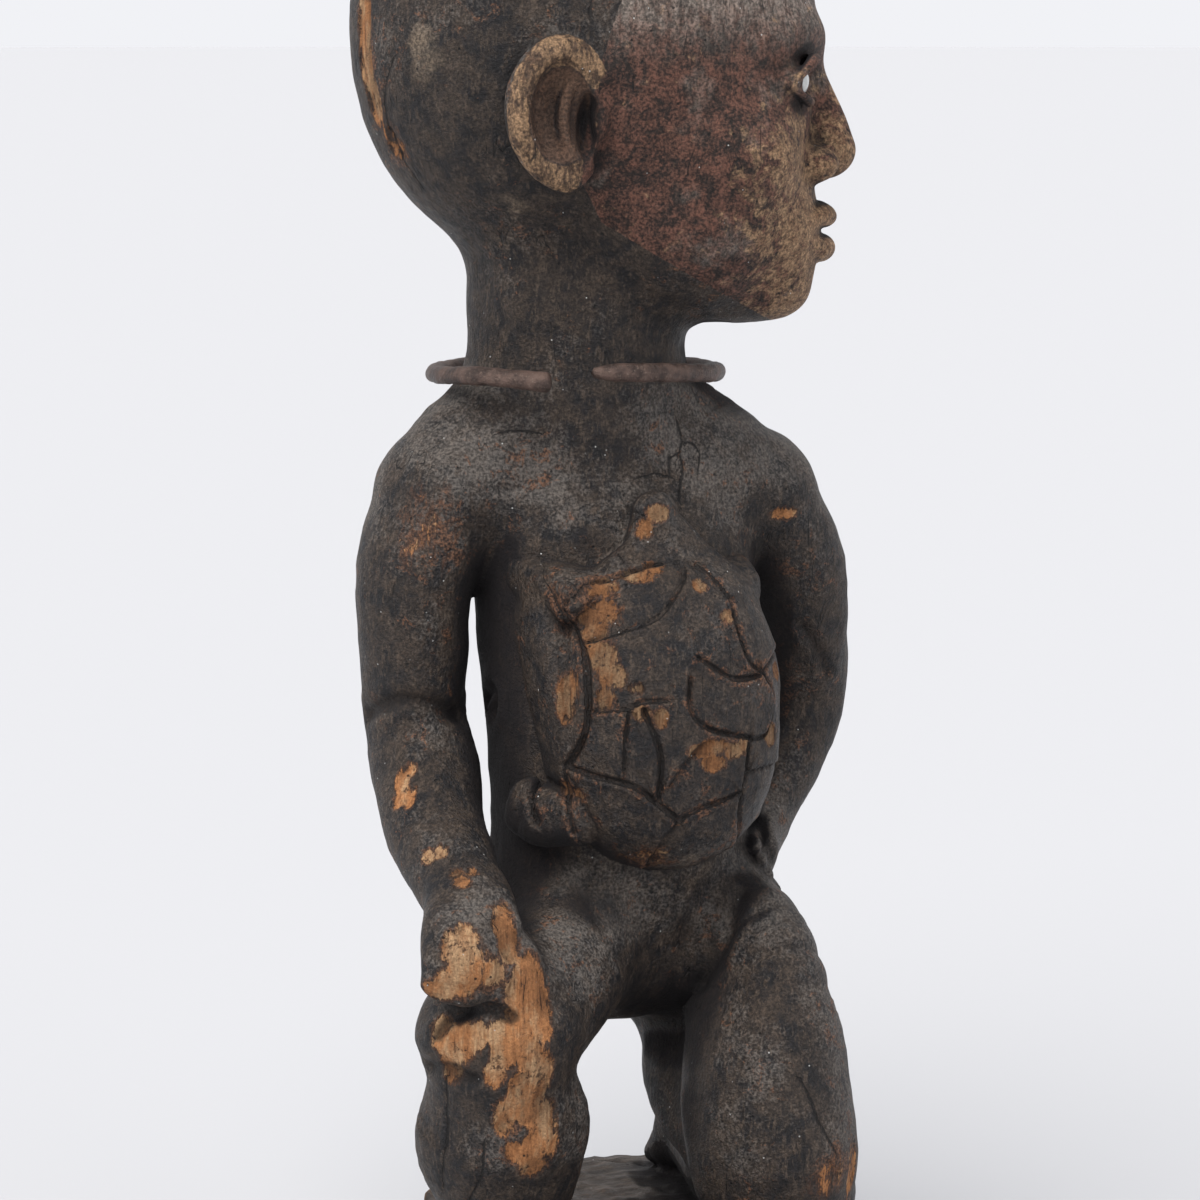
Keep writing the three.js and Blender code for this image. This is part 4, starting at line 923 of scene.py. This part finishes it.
def neck_wire(around=20, steps=260):
    """The bent wire, round in section and a little wavy and dented, with both ends closed on a rounded
    edge."""
    degrees = np.linspace(*RING_ENDS, steps)
    angle = np.radians(degrees)
    outward = np.sin(angle)[:, None] * FACE - np.cos(angle)[:, None] * LEFT
    middle = np.array(RING_CENTRE) + RING_RADIUS * outward
    middle[:, 2] += RISE * np.maximum(1 - ((degrees - RING_ENDS[0]) / RISE_OVER) ** 2, 0) ** 2
    middle[:, 2] += BEND * np.exp(-((degrees - BEND_AT) / BEND_OVER) ** 2)
    length = RING_RADIUS * (angle - angle[0])
    left_over = length[-1] - length
    width = THIN + (1 - THIN) * np.sin(np.pi / 2 * np.clip(length / TAPER, 0, 1))
    width *= np.sqrt(np.clip(1 - (1 - np.clip(length / 0.9, 0, 1)) ** 2, 0, 1))
    width *= np.sqrt(1 - 0.5 * (1 - np.clip(left_over / 0.4, 0, 1)) ** 2)
    width *= 1 + 0.09 * np.exp(-left_over / 9)
    width *= 1 + 0.02 * np.sin(length * 0.31) + 0.02 * np.sin(length * 0.83 + 1)
    turn = np.linspace(0, 2 * np.pi, around, endpoint=False)
    radius = WIRE * 0.985 * width[:, None] * (1 - 0.05 * np.cos(2 * turn + 0.02 * length[:, None]))
    off = ((radius * np.cos(turn))[..., None] * outward[:, None]
           + (radius * np.sin(turn))[..., None] * np.array(UPRIGHT)).reshape(-1, 3)
    wall = np.repeat(middle, around, 0) + off
    wall += 0.12 * uneven(wall, 2.2, 51)[:, None] * off / WIRE
    return mesh_piece("neck_wire", np.vstack([wall, middle[[0, -1]]]), closed_tube(steps, around)[:, ::-1])


LENS = np.array([7.15, 4.15, 4.85])  # half width, thickness and height


def lens_piece(name, side, around=48, rings=24):
    """Glass lens: an ellipsoid in the eye's seat. side 1 is the figure's left."""
    theta = np.linspace(0, np.pi, rings + 1)[1:-1]
    turn = np.linspace(0, 2 * np.pi, around, endpoint=False)
    unit = np.stack([np.outer(np.sin(theta), np.cos(turn)), np.outer(np.sin(theta), np.sin(turn)),
                     np.outer(np.cos(theta), np.ones(around))], -1).reshape(-1, 3)
    local = np.vstack([unit, [(0, 0, 1), (0, 0, -1)]]) * LENS
    centre = np.array(on_head([EYE], side)[0])
    points = centre + local @ np.array([LEFT, -FACE, UPRIGHT])
    piece = mesh_piece(name, points, closed_tube(rings - 1, around))
    paint(piece, "smudge", np.exp(-((local[:, 0] + 0.6) / 2.7) ** 2 - (local[:, 2] / 2.9) ** 2))
    return piece


ring = neck_wire()
lenses = [lens_piece("right_lens", -1), lens_piece("left_lens", 1)]


# Finishes

class Finish:
    """Short ways to lay out a material's nodes. Places are the object's own coordinates in millimetres."""

    def __init__(self, name):
        self.material = bpy.data.materials.new(name)
        self.material.use_nodes = True
        self.tree = self.material.node_tree
        self.inputs = self.tree.nodes["Principled BSDF"].inputs
        self.place = self.mapped(1, 1, 1)

    def add(self, kind, **settings):
        made = self.tree.nodes.new(kind)
        for key, value in settings.items():
            setattr(made, key, value)
        return made

    def feed(self, socket, value):
        """Links a value worked out by nodes to the socket, or sets the socket to a plain number."""
        if isinstance(value, bpy.types.NodeSocket):
            self.tree.links.new(value, socket)
        else:
            socket.default_value = value

    def mapped(self, *stretch):
        coordinates = self.add("ShaderNodeTexCoord")
        mapping = self.add("ShaderNodeMapping")
        mapping.inputs["Scale"].default_value = [s / MM for s in stretch]
        self.tree.links.new(coordinates.outputs["Object"], mapping.inputs["Vector"])
        return mapping.outputs["Vector"]

    def noise(self, size, detail=4, rough=0.55, where=None, twist=0.0):
        made = self.add("ShaderNodeTexNoise")
        self.feed(made.inputs["Vector"], where or self.place)
        for key, value in dict(Scale=1 / size, Detail=detail, Roughness=rough, Distortion=twist).items():
            made.inputs[key].default_value = value
        return made.outputs["Fac"]

    def from_dots(self, spacing):
        """Distance to the nearest of scattered dots, in units of their spacing."""
        made = self.add("ShaderNodeTexVoronoi")
        self.feed(made.inputs["Vector"], self.place)
        made.inputs["Scale"].default_value = 1 / spacing
        return made.outputs["Distance"]

    def kept(self, name):
        return self.add("ShaderNodeAttribute", attribute_name=name).outputs["Fac"]

    def math(self, operation, a, b=0.5):
        made = self.add("ShaderNodeMath", operation=operation)
        self.feed(made.inputs[0], a)
        self.feed(made.inputs[1], b)
        return made.outputs[0]

    def plus(self, *values):
        return reduce(lambda total, value: self.math("ADD", total, value), values)

    def greatest(self, *values):
        return reduce(lambda highest, value: self.math("MAXIMUM", highest, value), values)

    def times(self, a, b):
        return self.math("MULTIPLY", a, b)

    def swing(self, noise, size):
        """The noise's swing about its middle, times size."""
        return self.times(self.math("SUBTRACT", noise, 0.5), size)

    def step(self, value, low, high, out_low=0.0, out_high=1.0):
        made = self.add("ShaderNodeMapRange", interpolation_type="SMOOTHSTEP")
        for socket, number in zip(made.inputs, (value, low, high, out_low, out_high)):
            self.feed(socket, number)
        return made.outputs[0]

    def mix(self, share, a, b, way="MIX"):
        made = self.add("ShaderNodeMix", data_type="RGBA", blend_type=way)
        self.feed(made.inputs[0], share)
        for socket, value in ((made.inputs[6], a), (made.inputs[7], b)):
            self.feed(socket, value if isinstance(value, bpy.types.NodeSocket) else (*value, 1.0))
        return made.outputs[2]

    def over(self, colour, *coats):
        """The colour under coats of (paint, where it lies, how much of it covers there)."""
        for coat, share, most in coats:
            colour = self.mix(self.times(share, most), colour, coat)
        return colour

    def relief(self, height, depth):
        made = self.add("ShaderNodeBump")
        made.inputs["Distance"].default_value = depth * MM
        self.feed(made.inputs["Height"], height)
        return made.outputs["Normal"]


def carved_wood(name="carved_wood", dust_and_sheen_cover=0.66, gloss=0.0, edge_rust=0.0, groove=0.34, ragged_edge=3.4,
                lit=1.0):
    """Dark handled wood: near-black patina, brown undertone, grey dust that is also a painted highlight on
    faces turned up and forward, rust-brown scuffs, bare orange wood with fibres where the skin is worn off, a
    reddish painted face, pale rims on the ears and painted shade in creases and hollows."""
    f = Finish(name)
    broad = f.noise(22, 3, 0.5)
    middle = f.noise(7, 6, 0.65, twist=0.4)
    small = f.noise(2.4, 6, 0.7)
    fine = f.noise(0.85, 4, 0.65)
    streak = f.noise(1.6, 5, 0.7, f.mapped(1, 1, 0.3))
    fibre = f.noise(0.9, 5, 0.65, f.mapped(1, 1, 0.1))
    thread = f.noise(1.0, 4, 0.6, f.mapped(1, 1, 0.05))
    painted_deep_shade, line_near = f.kept("painted_deep_shade"), f.kept("line_near")

    # Patina, grey dust with a painted highlight on faces turned up and forward, and rust-brown scuffs
    # Painted highlight: the dust coat is stronger on faces turned up and forward, where the light falls.
    settled = f.plus(broad, f.swing(small, 0.7), f.swing(fine, 0.5), f.times(f.kept("upward"), 0.08),
                     f.times(f.kept("dust_and_sheen"), 0.22))
    dust_and_sheen = f.times(f.step(settled, 0.56, 0.90), f.step(painted_deep_shade, 0.75, 0.25))
    rust = f.plus(f.noise(4.5, 6, 0.78, twist=0.8), f.swing(broad, 0.5),
                  f.times(f.step(f.kept("worn"), -1.0, 0.7), 0.10),
                  f.times(f.step(line_near, 3.5, 1.2), edge_rust))
    rust_brown = f.mix(f.step(fine, 0.4, 0.6), (0.036, 0.017, 0.011), (0.125, 0.056, 0.028))
    colour = f.over(
        f.mix(f.step(middle, 0.36, 0.64), (0.0065, 0.0060, 0.0075), (0.038, 0.0265, 0.0195)),
        ((0.076, 0.054, 0.039), f.step(streak, 0.5, 0.66), 0.65),
        ((0.125, 0.110, 0.098), dust_and_sheen, dust_and_sheen_cover),
        (rust_brown, f.step(rust, 0.595, 0.66), 0.8))

    # Painted face: red-brown, grey-brown on the forehead and ochre towards the mouth
    painted = f.step(f.plus(f.kept("face"), f.swing(small, 0.8)), 0.42, 0.58)
    blotch = f.plus(f.noise(5.5, 6, 0.72, twist=0.6), f.swing(fine, 0.35))
    browned = f.mix(f.step(streak, 0.38, 0.62), (0.075, 0.063, 0.054), (0.280, 0.235, 0.200))
    browned_at = f.greatest(f.kept("brow"), f.times(f.step(f.noise(16, 3), 0.52, 0.66), 0.35))
    ochre = f.mix(f.step(small, 0.35, 0.65), (0.130, 0.070, 0.038), (0.34, 0.215, 0.12))
    ochre_at = f.plus(f.noise(8, 7, 0.75, twist=0.5), f.swing(small, 0.35), f.times(f.kept("ochre"), 0.24))
    face = f.over(
        f.mix(f.step(blotch, 0.36, 0.64), (0.018, 0.012, 0.010), (0.112, 0.050, 0.034)),
        (browned, browned_at, 0.9),
        (ochre, f.step(ochre_at, 0.58, 0.74), 0.85))
    colour = f.mix(painted, colour, face)

    # Rubbed places and ears
    pale = f.step(f.plus(f.kept("pale"), f.swing(middle, 1.6), f.swing(small, 0.8)), 0.45, 1.3)
    rim = f.step(f.plus(f.kept("rim"), f.swing(small, 0.9), f.swing(middle, 0.7)), 0.6, 0.8)
    rim_wood = f.mix(f.step(f.plus(streak, f.swing(middle, 0.8)), 0.40, 0.62),
                     (0.070, 0.040, 0.024), (0.27, 0.165, 0.090))

    # Bare wood where the skin is torn off, with a dark edge, fibres and dirt
    torn = f.noise(6.5, 9, 0.80, f.mapped(1, 1, 0.42), twist=0.9)
    ragged = f.plus(f.kept("worn"), f.swing(torn, ragged_edge), f.swing(fibre, 1.3))
    worn = f.step(ragged, 0.44, 0.56)
    colour = f.over(
        colour,
        ((0.22, 0.165, 0.115), pale, 0.6),
        (rim_wood, rim, 0.92),
        ((0.095, 0.050, 0.030), f.step(f.kept("inner_ear"), 0.3, 0.8), 0.8),
        ((0.075, 0.032, 0.016), f.step(ragged, -0.1, 0.42), 0.7))
    paler = f.step(f.noise(9, 5, 0.65, f.mapped(1, 1, 0.5)), 0.44, 0.60)
    dirt = f.step(f.plus(f.noise(3.4, 6, 0.75), f.swing(broad, 0.4)), 0.42, 0.34)
    bare = f.over(
        f.mix(paler, (0.42, 0.185, 0.072), (0.47, 0.29, 0.155)),
        ((0.19, 0.070, 0.024), f.step(thread, 0.60, 0.36), 0.5),
        ((0.045, 0.018, 0.010), f.step(thread, 0.36, 0.30), 1.0),
        ((0.070, 0.032, 0.018), dirt, 0.85))
    colour = f.mix(worn, colour, f.mix(1.0, bare, (lit, lit, lit), "MULTIPLY"))

    # Grit: a fine light-and-dark grain over everything, weaker on bare wood
    grit = f.plus(f.times(f.step(fine, 0.34, 0.66, -0.52, 0.62), f.step(worn, 0.0, 1.0, 1.0, 0.35)), 1.0)
    grey = f.add("ShaderNodeCombineColor")
    for socket in grey.inputs:
        f.feed(socket, grit)
    colour = f.mix(1.0, colour, grey.outputs[0], "MULTIPLY")

    # Grooves, splits, insect holes, white specks and what lies too deep for light
    wander = f.plus(f.kept("line"), f.swing(small, 3.0 * (0.6 - groove) + 1.0), f.swing(fine, 0.9))
    cut = f.times(f.step(f.math("ABSOLUTE", wander), groove + 0.08, 0.4 * groove),
                  f.step(line_near, 2.6, 1.6))
    split_way = f.noise(13, 3, 0.55, f.mapped(1, 1, 0.13), twist=0.3)
    split = f.times(f.step(f.math("ABSOLUTE", f.math("SUBTRACT", split_way, 0.5)), 0.0075, 0.0030),
                    f.step(f.noise(15, 3, 0.55), 0.55, 0.64))
    lying = f.step(f.noise(3.0, 5, 0.62, f.mapped(0.06, 1, 1)), 0.35, 0.65)
    pits = f.step(f.from_dots(5.5), 0.085, 0.05)
    specks = f.times(f.step(f.from_dots(4.3), 0.060, 0.045), f.step(f.noise(10, 2), 0.5, 0.58))
    colour = f.over(
        colour,
        ((0.006, 0.005, 0.005), cut, 0.85),
        ((0.006, 0.005, 0.005), split, 0.8),
        (f.mix(lying, (0.040, 0.029, 0.022), (0.125, 0.090, 0.066)), f.kept("low"), 0.75),
        ((0.004, 0.004, 0.004), pits, 0.85),
        ((0.62, 0.62, 0.60), specks, 0.85),
        # Painted shade in fine creases.
        ((0.010, 0.007, 0.006), f.step(f.kept("crease_shade"), 0.10, 0.60), 0.75),
        ((0.006, 0.005, 0.006), f.step(f.kept("shade"), 0.30, 0.95), 0.8),
        # Painted deep shade: darker in wide folds and hollows, and beside the trunk behind the arms.
        ((0.008, 0.006, 0.007), f.step(painted_deep_shade, 0.42, 0.95), 0.85))
    f.feed(f.inputs["Base Color"], colour)

    f.feed(f.inputs["Roughness"], f.greatest(
        f.step(small, 0.3, 0.7, 0.44 - gloss, 0.60 - gloss), f.step(ragged, 0.25, 0.5, 0.0, 0.8),
        f.times(dust_and_sheen, 0.72), f.times(painted, 0.66), f.times(f.step(painted_deep_shade, 0.3, 0.9), 0.9)))
    f.inputs["Specular IOR Level"].default_value = 0.33

    height = f.plus(*[f.times(part, share) for part, share in (
        (small, 0.75), (fine, 0.7), (streak, 0.45), (f.times(thread, worn), 1.2),
        (split, -0.6), (pits, -1.2), (worn, -0.5), (cut, -0.8))])
    f.feed(f.inputs["Normal"], f.relief(height, 1.15))
    return f.material


def ring_metal():
    """Old wire: dull brown-red skin with darker blotches and small lighter rubs."""
    f = Finish("ring_metal")
    blotch = f.noise(5, 5, 0.6)
    fine = f.noise(0.8, 5, 0.65)
    f.feed(f.inputs["Base Color"], f.over(
        f.mix(f.step(blotch, 0.35, 0.65), (0.038, 0.024, 0.020), (0.125, 0.080, 0.064)),
        ((0.25, 0.19, 0.15), f.step(fine, 0.55, 0.70), 0.55)))
    f.inputs["Metallic"].default_value = 0.45
    f.feed(f.inputs["Roughness"], f.step(blotch, 0.3, 0.7, 0.38, 0.52))
    f.feed(f.inputs["Normal"], f.relief(f.plus(fine, blotch), 0.6))
    return f.material


def eye_glass():
    """Milky grey-white glass with a dark smudge behind its middle."""
    f = Finish("eye_glass")
    cloud = f.noise(2.5, 4, 0.6)
    smudge = f.step(f.plus(f.kept("smudge"), f.swing(cloud, 0.6)), 0.35, 0.8)
    f.feed(f.inputs["Base Color"], f.over(
        f.mix(f.step(cloud, 0.35, 0.7), (0.46, 0.47, 0.45), (0.66, 0.68, 0.66)),
        ((0.075, 0.08, 0.085), smudge, 0.85)))
    f.inputs["Roughness"].default_value = 0.07
    f.inputs["Coat Weight"].default_value = 0.6
    f.inputs["Coat Roughness"].default_value = 0.03
    return f.material


wood = carved_wood()
shell_wood = carved_wood("shell_wood", dust_and_sheen_cover=0.40, gloss=0.05, edge_rust=0.09, groove=0.28, ragged_edge=5.0,
                         lit=0.56)
metal, glass = ring_metal(), eye_glass()
for piece, finish, slot, nodes in (
        (body, wood, "carved_wood", ["wooden_figure"]),
        (base, wood, "carved_wood", []),
        (head, wood, "carved_wood", []),
        (tortoise, shell_wood, "carved_wood", []),
        (ring, metal, "ring_metal", ["neck_ring"]),
        (lenses[0], glass, "eye_glass", ["right_eye_glass"]),
        (lenses[1], glass, "eye_glass", ["left_eye_glass"])):
    piece.data.materials.append(finish)
    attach(piece, "root")
    if nodes:
        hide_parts(*nodes)

# Camera, floor and light

AZIMUTH, ELEVATION = -24, 8  # degrees
DISTANCE = 1300.0
HALF_WIDTH = 180  # half of what the picture shows at the figure
AIM = np.array([-2.2, 1.0, 215.0]) + SHIFT


def looking_at(aim, distance, azimuth, elevation):
    """A pose so far from the aim, in metres, and turned towards it with its x axis level."""
    a, e = math.radians(azimuth), math.radians(elevation)
    back = np.array([math.sin(a) * math.cos(e), -math.cos(a) * math.cos(e), math.sin(e)])
    right = np.array([math.cos(a), math.sin(a), 0.0])
    pose = Matrix.Identity(4)
    for column, axis in enumerate((right, np.cross(back, right), back, aim + distance * back)):
        for row in range(3):
            pose[row][column] = axis[row]
    return pose


camera = linked("camera", bpy.data.cameras.new("camera"))
camera.data.angle = 2 * math.atan(HALF_WIDTH / DISTANCE)
camera.data.clip_start = 0.05
camera.matrix_world = looking_at(AIM * MM, DISTANCE * MM, AZIMUTH, ELEVATION)
bpy.context.scene.camera = camera

FLOOR_RADIUS, FLOOR_HEIGHT = 30, -0.0004  # metres


def floor_piece():
    """Pale flat floor, a disc."""
    turn = np.linspace(0, 2 * np.pi, 128, endpoint=False)
    rim = np.stack([FLOOR_RADIUS * np.cos(turn), FLOOR_RADIUS * np.sin(turn),
                    np.full(len(turn), FLOOR_HEIGHT)], 1)
    points = np.vstack([rim, [(0, 0, FLOOR_HEIGHT)]])
    j = np.arange(len(turn))
    faces = np.stack([np.full(len(turn), len(turn)), j, (j + 1) % len(turn)], 1)
    return mesh_piece("floor", points / MM - SHIFT, faces)


floor = floor_piece()
sheet = bpy.data.materials.new("floor_paper")
sheet.use_nodes = True
coat = sheet.node_tree.nodes["Principled BSDF"].inputs
coat["Base Color"].default_value = (0.48, 0.483, 0.50, 1)
coat["Roughness"].default_value = 1.0
coat["Specular IOR Level"].default_value = 0.0
floor.data.materials.append(sheet)


def soft_light(name, azimuth, elevation, spread, power, colour):
    """Light from one side of the room, as wide as `spread` degrees seen from the figure."""
    lamp = linked(name, bpy.data.lights.new(name, "SUN"))
    lamp.data.angle = math.radians(spread)
    lamp.data.energy = power
    lamp.data.color = colour
    lamp.matrix_world = looking_at(np.array([0, 0, 0.24]), 2, azimuth, elevation)


soft_light("key", -58, 56, 55, 3.9, (1.0, 0.985, 0.965))
soft_light("fill", 40, 35, 60, 0.5, (0.95, 0.97, 1.0))
soft_light("top", 150, 65, 50, 1.0, (0.97, 0.98, 1.0))


def studio_room():
    """World whose light is white at the horizon and falls off towards the ceiling."""
    world = bpy.data.worlds.new("studio")
    world.use_nodes = True
    nodes, links = world.node_tree.nodes, world.node_tree.links
    coordinates = nodes.new("ShaderNodeTexCoord")
    height = nodes.new("ShaderNodeSeparateXYZ")
    fall = nodes.new("ShaderNodeMapRange")
    fall.interpolation_type = "SMOOTHSTEP"
    for socket, number in zip(list(fall.inputs)[1:], (0.04, 0.5, 0.92, 0.36)):
        socket.default_value = number
    links.new(coordinates.outputs["Generated"], height.inputs[0])
    links.new(height.outputs["Z"], fall.inputs[0])
    links.new(fall.outputs[0], nodes["Background"].inputs["Strength"])
    nodes["Background"].inputs["Color"].default_value = (0.957, 0.965, 1.0, 1)
    return world


bpy.context.scene.world = studio_room()
bpy.context.scene.view_settings.view_transform = "Standard"
